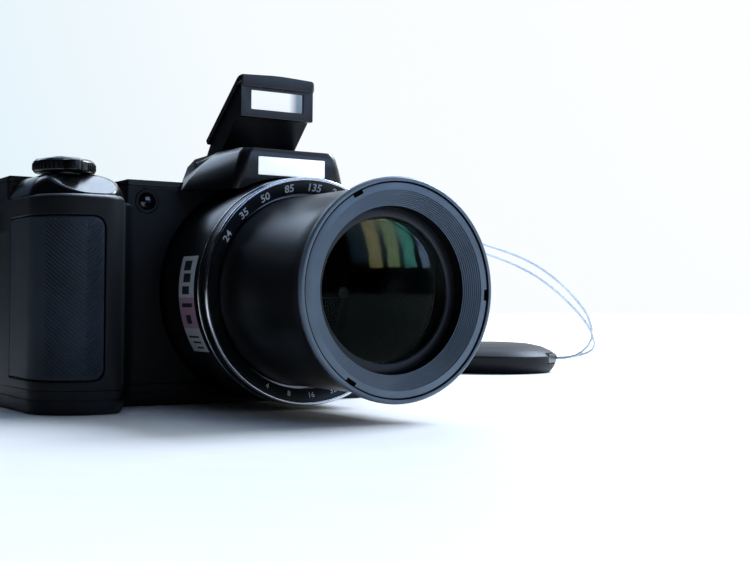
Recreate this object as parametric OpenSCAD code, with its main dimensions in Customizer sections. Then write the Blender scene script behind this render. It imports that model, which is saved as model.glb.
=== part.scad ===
// Bridge camera with a retracting zoom lens, a raised flash and a tethered lens cap.
// Millimetres. The origin is on the base, straight under the lens axis.
// X runs to the camera's left hand, Y to its back and Z up.

/* [Body] */
// From the lens collar to the grip end
grip_side = 40; // [38:0.1:44]
// From the lens collar to the other end
end_side = 9.1; // [8:0.1:12]
// Origin to the front panel
body_front = 24; // [22:0.5:27]
// Origin to the back
body_back = 25; // [24.5:0.5:30]
// Height of the base shell
base_h = 6; // [5:0.5:8]
// Room between the battery box and the control deck
box_room = 2.1; // [1.6:0.1:3.5]
// Step from the deck's seam up to the seam under the top plate
deck_drop = 5; // [4.5:0.25:5.5]
// Height of the front panel's bridge over the lens guide
bridge_h = 1.65; // [1.2:0.1:2.5]
// Thickness of the top plate
top_t = 1.6; // [1.2:0.1:2.4]
// Thickness of the casing walls
wall = 2.2; // [1.8:0.1:2.4]
// Corner radius at the back
rear_r = 7; // [5:0.5:9]
// Corner radius of the front panel
front_r = 7; // [4:0.5:8]
// Rounding under the base
foot_round = 2; // [1:0.25:2]
// Height of the groove round the foot
groove_z = 3.5; // [3:0.1:4]
// Depth of the front half of the casing behind the origin
split_y = 4; // [2:0.5:4.5]

/* [Grip] */
// How far the grip stands out from the front panel
grip_reach = 21.4; // [18:0.2:24]
// Width of the grip at its front
grip_w = 21; // [20:0.5:23]
// Width of the grip where it meets the panel
grip_root = 29.5; // [29:0.25:32]
// Radius of the outer front corner
grip_r = 13; // [10:0.5:14]
// Radius of the inner front corner
grip_side_r = 7; // [4:0.5:9]
// Fillet between the grip and the panel
grip_fillet = 4; // [2:0.5:6]
// Thickness of the rubber skin
pad_t = 1.2; // [0.8:0.1:1.4]
// Lower edge of the rubber skin
pad_low = 8.5; // [8:0.5:12]
// Upper edge of the rubber skin
pad_high = 50.5; // [46:0.5:52]
// Width of the rubber skin across the grip
pad_w = 16.4; // [15:0.2:18]
// Corner radius of the rubber skin
pad_r = 3; // [1:0.5:5]
// How far the rubber skin reaches back along the side
pad_back = 28; // [20:1:34]
// Height of the control deck above its seam
deck_h = 6; // [5:0.25:7]
// Slope of the deck's inner flank, in degrees
flank_slope = 27.5; // [24:0.5:30]
// Slope of the deck's front
front_slope = 33; // [28:0.5:38]
// How far the deck reaches behind the front panel
deck_depth = 10; // [8:0.5:12]

/* [Lens outside] */
// Height of the collar over the table
collar_lift = 1; // [0.8:0.1:2]
// How far the collar stands out from the front panel
collar_reach = 30; // [28:0.5:32]
// Gap between the turning sleeve and the collar
collar_gap = 1.05; // [0.8:0.05:1.2]
// Wall of the collar
collar_wall = 1.7; // [1.4:0.1:1.9]
// Width of the bright front ring
trim_w = 1; // [0.6:0.1:1.4]
// Height of the bright rings over their grooves
trim_t = 0.9; // [0.6:0.1:1]
// Distance between the two bright rings
trim_step = 4.6; // [3:0.2:6]
// Gap between the barrel and the front ring of the collar
name_gap = 0.9; // [0.6:0.1:1.3]
// Thickness of the front ring of the collar
name_t = 1.8; // [1.4:0.1:2.4]
// Radius of the sliding barrel
barrel_r = 25.7; // [25.4:0.1:25.8]
// Wall of the sliding barrel
barrel_wall = 1.5; // [1.2:0.1:1.6]
// How far the barrel stands out as photographed
barrel_out = 44.6; // [40:0.2:46]
// How far it stands out when it is drawn in
barrel_in = 3.9; // [3.4:0.1:5]
// How much further it runs at full zoom
barrel_more = 8; // [5:0.5:8]
// Length of the barrel behind the collar's front as photographed
barrel_tail = 17.5; // [16:0.25:18]
// How far the barrel's front lip stands out
lip_out = 1.8; // [1.4:0.1:2.2]
// Wall of the lip round the stepped ring
lip_wall = 1.15; // [1:0.05:1.3]
// Length of the flare behind the lip
flare_l = 9; // [6:0.5:12]
// Gap between the lip and the stepped ring
lip_gap = 0.35; // [0.2:0.05:0.5]
// Width of the stepped ring's flat rim
bezel_rim = 1.8; // [1.5:0.1:2.4]
// Width of the shoulder round the glass
opening_gap = 1.6; // [1.4:0.1:2]
// Depth of the stepped cone
step_depth = 2.8; // [2:0.1:3.4]
// Number of steps
step_n = 9; // [6:1:12]
// Width of the three key notches
notch_w = 2.8; // [2:0.1:3.6]

/* [Lens inside] */
// Wall of the lens cell round the front glass
cell_wall = 5.2; // [4.8:0.1:5.6]
// Thickness of the front glass at its rim
glass_t = 5; // [4:0.25:6]
// Bulge of the front glass
glass_sag = 2.6; // [1.5:0.1:3]
// How far the glass rim lies behind the stepped ring's front
glass_deep = 7.2; // [7:0.1:8]
// How far the glass ring laps the glass
retainer_lap = 1; // [0.8:0.1:2]
// Wall of the fixed guide tube
guide_wall = 1.05; // [0.9:0.05:1.1]
// Wall of the turning sleeve
drive_wall = 1.15; // [1:0.05:1.2]
// Width of the follower pins
follower_r = 1.4; // [1:0.1:1.6]
// Gear's pitch circle over the turning sleeve
gear_over = 1.35; // [1.3:0.05:1.6]
// Teeth on the pinion
pinion_n = 10; // [9:1:11]
// Teeth on the sleeve
drive_n = 74; // [74:1:75]
// Width of the gears
gear_w = 5; // [4:0.5:6]
// Direction of the pinion from the axis, in degrees
pinion_turn = 155; // [152:1:158]
// Radius of the zoom motor
motor_r = 4.8; // [4:0.1:4.9]
// Radius of the pinion's shaft
shaft_r = 1; // [0.8:0.1:1.2]
// Radius of the two guide rods
rod_r = 1.5; // [1.2:0.1:1.8]
// Rods inside the carriages' rim
rod_in = 4.5; // [4:0.1:5]
// Gap between the carriages and the barrel
carriage_gap = 1.7; // [1.2:0.1:2.2]
// Thickness of the zoom carriage
carriage_t = 5; // [4:0.25:5.5]
// Radius of the zoom lens
zoom_lens_r = 9; // [8:0.25:10]
// Radius of the focus lens
focus_lens_r = 7; // [6:0.25:8]
// Thickness of the focus carriage
focus_t = 3; // [2.5:0.25:3.5]
// Thickness of the inner plate
chassis_t = 1.5; // [1.2:0.1:2]
// Thickness of the boards
board_t = 1.4; // [1:0.1:1.6]
// Radius of the flash capacitor
capacitor_r = 4.2; // [3.5:0.1:4.3]
// Length of the flash capacitor
capacitor_l = 31; // [24:1:34]

/* [Flash] */
// Width of the flash lid
flash_w = 24.8; // [23:0.2:25]
// Height of the flash front
flash_h = 12.4; // [11.5:0.1:12.5]
// Top of the raised flash above the hump
flash_rise = 22.2; // [21.8:0.1:23]
// Front of the raised flash in front of the origin
flash_front = 34.3; // [33.5:0.1:35]
// Slope of the raised lid, in degrees
lid_slope = 36.8; // [36:0.1:38]
// Length of the lid
lid_l = 28.6; // [28:0.1:29]
// Thickness of the lid
lid_t = 1.8; // [1.4:0.1:2]
// Height of the band at the front of the lid
band_h = 3.9; // [3:0.1:4]
// Step from the band to the flash front
band_step = 0.8; // [0.5:0.1:1]
// Step from the lid to the flash box at each side
side_step = 0.8; // [0.5:0.1:1.2]
// Wall of the flash box
flash_wall = 1.4; // [1:0.1:1.6]
// Width of the flash window
window_w = 16.4; // [15:0.2:17]
// Height of the flash window
window_h = 5.4; // [5:0.1:6]
// Lower edge of the flash window above the flash front's foot
window_low = 2.3; // [2:0.1:2.8]
// Hinge behind the flash front
hinge_back = 26.3; // [26:0.1:27]
// Flash hinge below the top of the hump
hinge_drop = 2; // [1.8:0.1:2.2]
// Radius of the hinge pin
hinge_pin_r = 1; // [0.8:0.05:1.1]
// Wall round the hinge pin
knuckle_wall = 1.3; // [1:0.1:1.5]
// Height of the hump above the top plate
hump_rise = 8.9; // [8.4:0.1:9.4]
// Depth of the flash's well
tray_room = 6.9; // [6.5:0.1:7.4]
// Front of the hump in front of the origin
hump_front = 42.6; // [42:0.1:43.5]
// Half-width of the hump's front
hump_nose = 15; // [14.8:0.1:16]
// Half-width of the hump at its foot
hump_foot = 26; // [25:0.5:27]
// Half-width of the hump at its back
hump_tail = 9; // [8.5:0.5:11]
// Back of the hump behind the origin
hump_back = 19; // [16:0.5:21]

/* [Controls] */
// Zoom lever from the grip end
lever_x = 10.4; // [10:0.1:11]
// Zoom lever behind the grip's front
lever_y = 16; // [15:0.25:18]
// Radius of the zoom lever
lever_r = 8; // [7:0.25:8.5]
// Height of the zoom lever's rim
lever_h = 3.6; // [3:0.1:4.2]
// How far the lever's nose stands out
lever_nose = 1.6; // [1:0.1:2]
// Radius of the shutter button
shutter_r = 5; // [4:0.1:5.4]
// Radius of the shutter button's stem
stem_r = 2.4; // [2:0.1:2.6]
// Travel of the shutter button
shutter_travel = 1.2; // [0.8:0.1:1.3]
// Radius of the power button
power_r = 3.2; // [2.5:0.1:3.6]
// Radius of the small back keys
key_r = 2.8; // [2.2:0.1:3]
// Radius of the record button
record_r = 3.4; // [2.6:0.1:3.6]
// Radius of the four-way pad
pad_key_r = 9.6; // [8.5:0.1:10]
// Radius of the centre key
ok_r = 3.8; // [3:0.1:4.2]
// How far the keys stand out
key_out = 0.7; // [0.4:0.1:1]
// Travel of the keys
key_travel = 0.6; // [0.4:0.1:0.8]
// Width of the key flanges
key_flange = 0.7; // [0.5:0.1:0.9]
// Thickness of the key flanges
key_flange_t = 0.8; // [0.6:0.1:1]

/* [Screen] */
// Width of the display module
lcd_w = 64; // [60:0.5:64]
// Height of the display module
lcd_h = 48.5; // [46:0.5:49]
// Thickness of the display module
lcd_t = 4.6; // [4:0.1:4.8]
// Casing above the display module
lcd_rim = 3.9; // [3.5:0.1:5]
// Lower edge of the display module
lcd_low = 8.6; // [8.4:0.1:9.5]
// Border of the display module behind the window
lcd_lap = 1.4; // [1:0.1:2]
// Thickness of the clear window
window_t = 1.4; // [1:0.1:1.6]

/* [Power] */
// Radius of a cell
cell_r = 7.1; // [6.8:0.05:7.2]
// Length of a cell
cell_l = 50.5; // [49.5:0.1:50.7]
// Wall of the battery box
box_wall = 0.8; // [0.6:0.05:0.9]
// Distance between the cells of a column
cell_pitch = 15.2; // [15:0.05:15.4]
// Distance between the two columns
cell_column = 14.6; // [14.5:0.05:14.7]
// How far the second column is set back
cell_set = 20.5; // [20:0.25:21]
// Front cell behind the grip's front
cell_front = 15.4; // [14:0.1:16]
// Thickness of the battery door
door_t = 1.7; // [1.4:0.1:1.9]
// Radius of the door's hinge pins
door_pin_r = 0.7; // [0.5:0.05:0.8]

/* [Base and sides] */
// Radius of the tripod thread
tripod_r = 3.175; // [3.1:0.005:3.25]
// Depth of the tripod thread
tripod_deep = 5.5; // [4.5:0.1:6]
// Wall of the tripod bush
tripod_wall = 2.6; // [2:0.1:3]
// Height of the tripod bush
tripod_h = 6.5; // [6.2:0.1:7]
// Tripod socket behind the origin
tripod_y = 13; // [12.8:0.1:14]
// Radius of the case screws
screw_r = 0.8; // [0.6:0.05:1]
// Radius of the screw heads
screw_head_r = 1.5; // [1.3:0.05:1.7]
// Wall round the screws
boss_wall = 1.5; // [1.2:0.1:1.8]
// Height of the screw bosses
boss_h = 5; // [4:0.5:6]
// Height of the strap eyelets above the table
lug_z = 51; // [46:0.5:52]
// How far the eyelets stand out
lug_out = 4.6; // [4.4:0.1:5.4]
// Height of an eyelet
lug_h = 10; // [8:0.5:11]
// Thickness of an eyelet
lug_t = 2.2; // [1.8:0.1:2.4]
// Width of the eyelet's slot
lug_slot = 2.6; // [2.4:0.1:2.8]
// Width of the eyelet's outer bar
lug_bar = 1.4; // [1.2:0.1:1.6]
// Width of the connector flap
flap_w = 11; // [10:0.25:12]
// Height of the connector flap
flap_h = 27; // [24:0.5:30]
// Lower edge of the connector flap
flap_low = 15; // [12:0.5:18]
// Radius of the lamp window
lamp_r = 3.4; // [2.8:0.1:3.8]
// Lamp window from the lens axis
lamp_x = 35.4; // [34.8:0.1:36]
// Lamp window below the top seam
lamp_drop = 4.4; // [4:0.2:6]

/* [Cap] */
// Radius of the lens cap at its widest
cap_r = 28; // [27:0.1:29]
// Height of the cap's widest part
cap_waist = 7; // [6.5:0.1:8]
// Radius of the cap's foot
cap_foot_r = 24.8; // [24:0.1:25.6]
// Radius of the hollow under the cap
cap_in_r = 22.4; // [21.5:0.1:22.8]
// Height of the cap
cap_h = 12.8; // [12:0.1:14]
// Thickness of the cap's top
cap_top_t = 2.4; // [1.6:0.1:3]
// Width of the cap's pinch tabs
tab_w = 11; // [9:0.5:12]
// Height of the pinch tabs
tab_h = 4; // [3:0.1:4.4]
// Length of the pinch tabs
tab_l = 5.4; // [4.5:0.1:6]
// Travel of the pinch tabs
tab_travel = 1.5; // [1:0.1:2]

/* [Hidden] */
$fn = 96;
// Clearance between parts that are fixed side by side
seat = 0.05;
// Clearance between covers and what passes through them
fit = 0.3;
// Running clearance of pins, shafts and sleeves
run = 0.05;
eps = 0.02;

// Lens radii from the barrel outwards, then inwards
guide_in = barrel_r + fit;
guide_out = guide_in + guide_wall;
drive_in = guide_out + run;
drive_out = drive_in + drive_wall;
collar_in = drive_out + collar_gap;
collar_r = collar_in + collar_wall;
drive_r = drive_out + gear_over;
gear_m = 2 * drive_r / drive_n;
pinion_r = pinion_n * gear_m / 2;
gear_gap = drive_r + pinion_r + 0.06;
name_r = barrel_r + name_gap;
lip_r = barrel_r + lip_out;
bezel_r = lip_r - lip_wall - lip_gap;
step_r = bezel_r - bezel_rim;
glass_r = barrel_r - barrel_wall - cell_wall;
opening_r = glass_r + opening_gap;
retainer_r = glass_r - retainer_lap;
carriage_r = barrel_r - barrel_wall - carriage_gap;
rod_place = carriage_r - rod_in;

lens_z = collar_r + collar_lift;
right_end = collar_r + end_side;
left_x = -collar_r - grip_side;

front_y = -body_front;
back_y = body_back;
grip_y = front_y - grip_reach;
deck_y = front_y + deck_depth;
root_x = left_x + grip_root;
ring_y = front_y - collar_reach;
face_y = ring_y - barrel_out;

// Closed outlines, anticlockwise from above: x, y and corner radius
body_line = [
    [right_end, back_y, rear_r],
    [left_x, back_y, rear_r],
    [left_x, grip_y, grip_r],
    [left_x + grip_w, grip_y, grip_side_r],
    [root_x, front_y, grip_fillet],
    [right_end, front_y, front_r]];
upper_line = [
    [right_end, back_y, rear_r],
    [left_x, back_y, rear_r],
    [left_x, deck_y, 1],
    [root_x, deck_y, 1],
    [root_x, front_y, 1],
    [right_end, front_y, front_r]];
function deck_outline(back) = [
    [left_x, back, 1],
    [left_x, grip_y, grip_r],
    [left_x + grip_w, grip_y, grip_side_r],
    [root_x - seat, front_y - seat, 1],
    [root_x - seat, back, 1]];

deck_line = deck_outline(deck_y - seat);
// Reaches behind the deck's flat back
deck_long = deck_outline(deck_y + deck_h);

// Battery cells: front column, then the column that is set back
cell_x = left_x + wall + fit + box_wall + fit + cell_r;
cell_y = grip_y + cell_front;
cell_spots = [
    [cell_x, cell_y],
    [cell_x, cell_y + cell_pitch],
    [cell_x + cell_column, cell_y + cell_set],
    [cell_x + cell_column, cell_y + cell_set + cell_pitch]];
cell_bore = cell_r + fit / 2;
box_r = cell_bore + box_wall;
cell_line = [
    [cell_x, cell_y, 0],
    [cell_x + cell_column, cell_y + cell_set, 0],
    [cell_x + cell_column, cell_y + cell_set + cell_pitch, 0],
    [cell_x, cell_y + cell_pitch, 0]];
floor_t = wall;
door_z = fit;
cell_z = door_z + door_t + fit;
box_top = cell_z + cell_l + fit + box_wall;
door_reach = door_pin_r + 1.5;
door_axis_x = cell_x + cell_column + box_r + 0.2 + door_reach;
door_axis_z = door_z + door_t / 2 + fit;
door_mid_y = cell_y + cell_set + cell_pitch / 2;

// The casing is as tall as the tallest of the battery box, the lens and the display
top_seam_h = max(box_top + box_room + deck_drop, lens_z + guide_out + fit + bridge_h,
    lcd_low + lcd_h + lcd_rim);
deck_seam_h = top_seam_h - deck_drop;
shoulder_h = top_seam_h + top_t;
tray_z = lens_z + collar_r + 1.6;
hump_h = max(shoulder_h + hump_rise, tray_z + tray_room);
hinge_z = hump_h - hinge_drop;
flash_top = hump_h + flash_rise;
lamp_z = top_seam_h - lamp_drop;

gear_y = front_y + wall + 1.6 + 2 * fit;
lens_hole = collar_r + fit;
lens_cut_y = gear_y + gear_w + 2 * fit;
motor_y = gear_y + gear_w + 1;
pinion_x = gear_gap * cos(pinion_turn);
pinion_z = lens_z + gear_gap * sin(pinion_turn);
barrel_end = ring_y + barrel_tail;
travel = barrel_out - barrel_in;
chassis_y = barrel_end + travel + 1.3;
guide_end = chassis_y;
zoom_y = barrel_end + 1;
focus_y = chassis_y - focus_t - 4.4;
bezel_back = face_y + 8.6;
seat_y = face_y + 1.9;
glass_y = face_y + glass_deep;
follower_y = barrel_end - follower_r - 0.6;

// Back of the casing
back_in = back_y - wall;
lcd_y = back_in - fit - lcd_t;
lcd_x0 = -lcd_w / 2;
board_y = lcd_y - fit - board_t;
key_y = back_in - fit - key_flange_t;
key_board_y = key_y - key_travel - fit - board_t;
keys_x = left_x + 19.5;
keys_low = 12.6;

// Flash
flash_y = -flash_front;
hinge_y = flash_y + hinge_back;
lid_way = [cos(lid_slope), -sin(lid_slope)];
lid_up = [sin(lid_slope), cos(lid_slope)];
lid_tip = [flash_y, flash_top];
knuckle_r = hinge_pin_r + run + knuckle_wall;
box_half = flash_w / 2 - side_step;
well_half = flash_w / 2 + 0.5;
pin_half = well_half + 1.1;
front_step_y = flash_y + band_step;

// Controls on the deck
lever_place = [left_x + lever_x, grip_y + lever_y];
deck_top = deck_seam_h + deck_h;

// Cap on the table: its place, the turn of its tabs and of its cord holes
cap_x = 169;
cap_y = 87;
cap_tilt = -56;
cord_turn = -31;
cord_gap = 2.35;
cord_z = 6;

// Cord from the sleeve at the eyelet, out to the cap, through both holes and back
cord_r = 0.5;
cord_sides = 8;
cord_spots = [
    [52.4, -4, 51.7], [60, -3, 52], [80, 5, 53], [100, 14, 52.5], [121, 24, 50.5], [137, 28, 47.4],
    [151, 30.5, 42.7], [169, 37, 35], [186, 44, 24.5], [193.5, 50, 15], [194, 57, 9], [193.3, 64, 6.6],
    [192.6, 70.1, 6], [186.6, 73.7, 6], [185.8, 76.9, 6], [189.1, 77.7, 6], [195.1, 74.1, 6],
    [198, 68, 6.6], [198, 58, 8.6], [196, 51, 12.5], [187, 46, 21.5], [169, 39.5, 32], [150, 33, 40],
    [135, 30, 44.8], [120, 25.5, 47.8], [100, 16, 49.6], [80, 6.5, 50], [60, -3, 49.6], [52.4, -4, 50.3]];

// Outline helpers

function unit(v) = v / norm(v);

function flat(p) = [p[0], p[1]];

// Points on the arc that rounds corner p between its neighbours a and b
function corner(a, p, b, r, n) =
    let (u = unit(flat(a) - flat(p)),
        v = unit(flat(b) - flat(p)),
        half = acos(max(-1, min(1, u * v))) / 2,
        c = flat(p) + unit(u + v) * r / sin(half),
        s = flat(p) + u * r / tan(half) - c,
        e = flat(p) + v * r / tan(half) - c,
        a0 = atan2(s[1], s[0]),
        d0 = atan2(e[1], e[0]) - a0,
        d = d0 > 180 ? d0 - 360 : d0 < -180 ? d0 + 360 : d0)
    [for (i = [0 : n]) c + r * [cos(a0 + d * i / n), sin(a0 + d * i / n)]];

function rounded(line, n = 8) =
    let (k = len(line))
    [for (i = [0 : k - 1])
        each corner(line[(i + k - 1) % k], line[i], line[(i + 1) % k], max(line[i][2], 0.05), n)];

// The same outline moved inwards by t, or outwards where t is negative
function inset(line, t) =
    let (k = len(line))
    [for (i = [0 : k - 1])
        let (p = flat(line[i]),
            d1 = unit(p - flat(line[(i + k - 1) % k])),
            d2 = unit(flat(line[(i + 1) % k]) - p),
            n1 = [-d1[1], d1[0]],
            n2 = [-d2[1], d2[0]],
            q = p + (n1 + n2) * t / (1 + n1 * n2),
            r = cross(d1, d2) > 0 ? line[i][2] - t : line[i][2] + t)
        [q[0], q[1], max(r, 0.3)]];

module slab(line, z0, z1, n = 8) {
    translate([0, 0, z0]) {
        linear_extrude(z1 - z0) {
            polygon(rounded(line, n));
        }
    }
}

// A closed skin through rings of equally many points, anticlockwise about the way they follow
module skin(rings) {
    n = len(rings[0]);
    m = len(rings);
    spots = [for (ring = rings) each ring];
    low = [[for (i = [0 : n - 1]) i]];
    high = [[for (i = [n - 1 : -1 : 0]) (m - 1) * n + i]];
    sides = [for (k = [0 : m - 2]) for (i = [0 : n - 1])
        let (a = k * n + i, b = k * n + (i + 1) % n)
        each [[a, a + n, b + n], [a, b + n, b]]];
    polyhedron(spots, concat(low, sides, high));
}

// A solid through outlines at rising heights: each level is a height and its points
module loft(levels) {
    skin([for (l = levels) [for (p = l[1]) [p[0], p[1], l[0]]]]);
}

// A solid of revolution about the lens axis, from a profile of radius and depth
module lens_turn(profile) {
    translate([0, 0, lens_z]) {
        rotate([-90, 0, 0]) {
            rotate_extrude() {
                polygon(profile);
            }
        }
    }
}

// A cylinder along Y at x and z, from y0 to y1
module along_y(x, z, r, y0, y1) {
    translate([x, y0, z]) {
        rotate([-90, 0, 0]) {
            cylinder(r = r, h = y1 - y0);
        }
    }
}

// A cylinder along X at y and z, from x0 to x1
module along_x(y, z, r, x0, x1) {
    translate([x0, y, z]) {
        rotate([0, 90, 0]) {
            cylinder(r = r, h = x1 - x0);
        }
    }
}

module block(x0, x1, y0, y1, z0, z1) {
    translate([x0, y0, z0]) {
        cube([x1 - x0, y1 - y0, z1 - z0]);
    }
}

// An outline in Y and Z drawn out to the same width at both sides of the axis
module side_plate(line, half) {
    translate([-half, 0, 0]) {
        rotate([90, 0, 90]) {
            linear_extrude(2 * half) {
                polygon(line);
            }
        }
    }
}

// Space that the lens takes from the casing
module lens_space() {
    along_y(0, lens_z, lens_hole, ring_y, lens_cut_y);
}

// Casing

boss_in = wall + screw_r + boss_wall - 0.6;
screw_spots = [
    [right_end - 5, back_y - boss_in],
    [left_x + 19, back_y - boss_in],
    [right_end - 4, front_y + boss_in],
    [root_x + 5, front_y + boss_in]];

module boss(i) {
    translate([screw_spots[i][0], screw_spots[i][1], base_h]) {
        cylinder(r = screw_r + boss_wall, h = boss_h);
    }
}

module boss_hole(i) {
    translate([screw_spots[i][0], screw_spots[i][1], base_h - 1]) {
        cylinder(r = screw_r + seat, h = boss_h);
    }
}

pad_x = left_x + pad_w;

// The shape of the rubber skin's edge, seen from the front
module pad_edge(grow) {
    translate([0, grip_y + pad_back, 0]) {
        rotate([90, 0, 0]) {
            linear_extrude(pad_back + 10) {
                polygon(rounded([
                    [left_x - 10, pad_low - grow, 0.1],
                    [pad_x + grow, pad_low - grow, pad_r],
                    [pad_x + grow, pad_high + grow, pad_r],
                    [left_x - 10, pad_high + grow, 0.1]]));
            }
        }
    }
}

module front_cover() {
    color("dimgray") {
        difference() {
            union() {
                difference() {
                    union() {
                        slab(body_line, base_h, deck_seam_h);
                        slab(upper_line, deck_seam_h - eps, top_seam_h);
                    }
                    slab(inset(body_line, wall), base_h - 1, box_top + fit);
                    slab(inset(body_line, wall + pad_t), base_h, deck_seam_h + eps);
                    slab(inset(upper_line, wall), deck_seam_h - wall - eps, top_seam_h + 1);
                    block(left_x - 1, right_end + 1, split_y, back_y + 1, base_h - 1, top_seam_h + 2);
                }
                boss(2);
                boss(3);
                // Bridge over the lens that joins both sides of the panel
                block(-22, 22, front_y + wall - eps, lens_cut_y + 4, lens_z + guide_out + fit, top_seam_h);
            }
            lens_space();
            intersection() {
                difference() {
                    slab(inset(body_line, -5), pad_low - 2, pad_high + 2);
                    slab(inset(body_line, pad_t + seat), pad_low - 3, pad_high + 3);
                }
                pad_edge(seat);
            }
            along_y(-lamp_x, lamp_z, lamp_r + seat, front_y - 1, front_y + wall + 1);
            boss_hole(2);
            boss_hole(3);
        }
    }
}

module grip_pad() {
    color("darkslategray") {
        intersection() {
            difference() {
                slab(body_line, pad_low - 2, pad_high + 2);
                slab(inset(body_line, pad_t), pad_low - 3, pad_high + 3);
            }
            pad_edge(0);
        }
    }
}

keys_high = top_seam_h - 17;
keys_foot = keys_low + 3.8;
key_spots = [
    [lcd_x0 - record_r - key_flange - 1.8, top_seam_h - 9, record_r],
    [keys_x + 8, keys_high, key_r],
    [keys_x - 8, keys_high, key_r],
    [keys_x - 8, keys_foot, key_r],
    [keys_x + 8, keys_foot, key_r],
    [keys_x, (keys_high + keys_foot) / 2, pad_key_r]];

flap_y1 = back_y - rear_r - 0.4;
flap_y0 = flap_y1 - flap_w;
flap_z1 = flap_low + flap_h;
flap_pin_r = 0.6;
flap_t = 1.4;
flap_pin_y = flap_y1 - flap_pin_r - 0.5;
flap_pin_x = right_end - flap_t / 2;

module rear_cover() {
    color("gray") {
        difference() {
            union() {
                difference() {
                    union() {
                        slab(body_line, base_h, deck_seam_h);
                        slab(upper_line, deck_seam_h - eps, top_seam_h);
                    }
                    slab(inset(body_line, wall), base_h - 1, top_seam_h + 1);
                    block(left_x - 1, right_end + 1, grip_y - 1, split_y, base_h - 1, top_seam_h + 2);
                }
                boss(0);
                boss(1);
            }
            block(lcd_x0 + lcd_lap, -lcd_x0 - lcd_lap, back_in - 1, back_y + 1,
                lcd_low + lcd_lap, lcd_low + lcd_h - lcd_lap);
            for (k = key_spots) {
                along_y(k[0], k[1], k[2] + fit, back_in - 1, back_y + 1);
            }
            // Seat of the connector flap, with the two socket holes
            block(right_end - flap_t - fit, right_end + 1, flap_y0 - fit, flap_y1 + fit,
                flap_low - fit, flap_z1 + fit);
            for (s = socket_spots) {
                block(right_end - wall - 1, right_end, socket_y - seat, socket_y + socket_d + seat,
                    s[0] - seat, s[1] + seat);
            }
            // Pin holes of the flap
            translate([flap_pin_x, flap_pin_y, flap_low - 1.6]) {
                cylinder(r = flap_pin_r + run, h = flap_h + 3.2);
            }
            boss_hole(0);
            boss_hole(1);
        }
    }
}

socket_y = flap_y0 + 1.8;
socket_d = 5.6;
socket_l = 8;
socket_spots = [[flap_low + 3, flap_low + 10], [flap_low + 14, flap_low + 24]];

function hump_level(z, foot, nose, rear, front, back) = [z, rounded([
    [rear, back, 5],
    [-rear, back, 5],
    [-foot, front_y - 1, 4],
    [-nose, -front, 3],
    [nose, -front, 3],
    [foot, front_y - 1, 4]], 5)];

module top_cover() {
    color("slategray") {
        difference() {
            union() {
                // The plate's rounded edge, in fine steps
                for (a = [15 : 15 : 90]) {
                    slab(inset(upper_line, top_t * (1 - cos(a - 15))), top_seam_h, top_seam_h + top_t * sin(a));
                }
                difference() {
                    loft([
                        hump_level(top_seam_h - 1, hump_foot + 0.8, hump_nose + 2, hump_tail,
                            hump_front - 0.8, hump_back),
                        hump_level(shoulder_h + 0.4, hump_foot - 1.4, hump_nose + 1.4, hump_tail - 0.4,
                            hump_front - 0.2, hump_back - 0.8),
                        hump_level(hump_h - 4.5, hump_foot - 5.6, hump_nose + 0.6, hump_tail + 0.5,
                            hump_front, hump_back - 6),
                        hump_level(hump_h - 1.5, hump_foot - 9.2, hump_nose, hump_tail + 2.5,
                            hump_front - 0.1, hump_back - 13),
                        hump_level(hump_h, hump_nose - 0.2, hump_nose - 0.7, hump_tail + 3.9,
                            hump_front - 0.8, hump_back - 20.5)]);
                    // Below the plate, all but the hump's nose is cut away
                    block(left_x, right_end, front_y - seat, back_y, top_seam_h - 3, top_seam_h + 0.4);
                }
            }
            along_y(0, lens_z, collar_r + 0.8, -hump_front - 5, lens_cut_y);
            // The flash's well, with its sloping front
            side_plate([
                [hinge_y + knuckle_r + 0.8, tray_z],
                [hinge_y + knuckle_r + 0.8, hump_h + 10],
                [-hump_front + 0.9, hump_h + 10],
                [-hump_front + 0.9, hump_h + 0.4],
                [-hump_front + 6.2, tray_z]], well_half);
            along_x(hinge_y, hinge_z, hinge_pin_r + seat, -pin_half - 0.1, pin_half + 0.1);
            // Room in the hump behind the flash
            block(-hump_tail + 1, hump_tail - 1, hinge_y + knuckle_r + 2.6, hump_back - 14, top_seam_h - 1,
                hump_h - 4);
            translate([power_place[0], power_place[1], top_seam_h - 1]) {
                cylinder(r = power_r + fit, h = top_t + 3);
            }
        }
    }
}

power_place = [left_x + 13, deck_y + 12];

door_line = inset(cell_line, -box_r - 0.2);
hatch_line = inset(cell_line, -box_r - 0.2 - fit);

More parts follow.
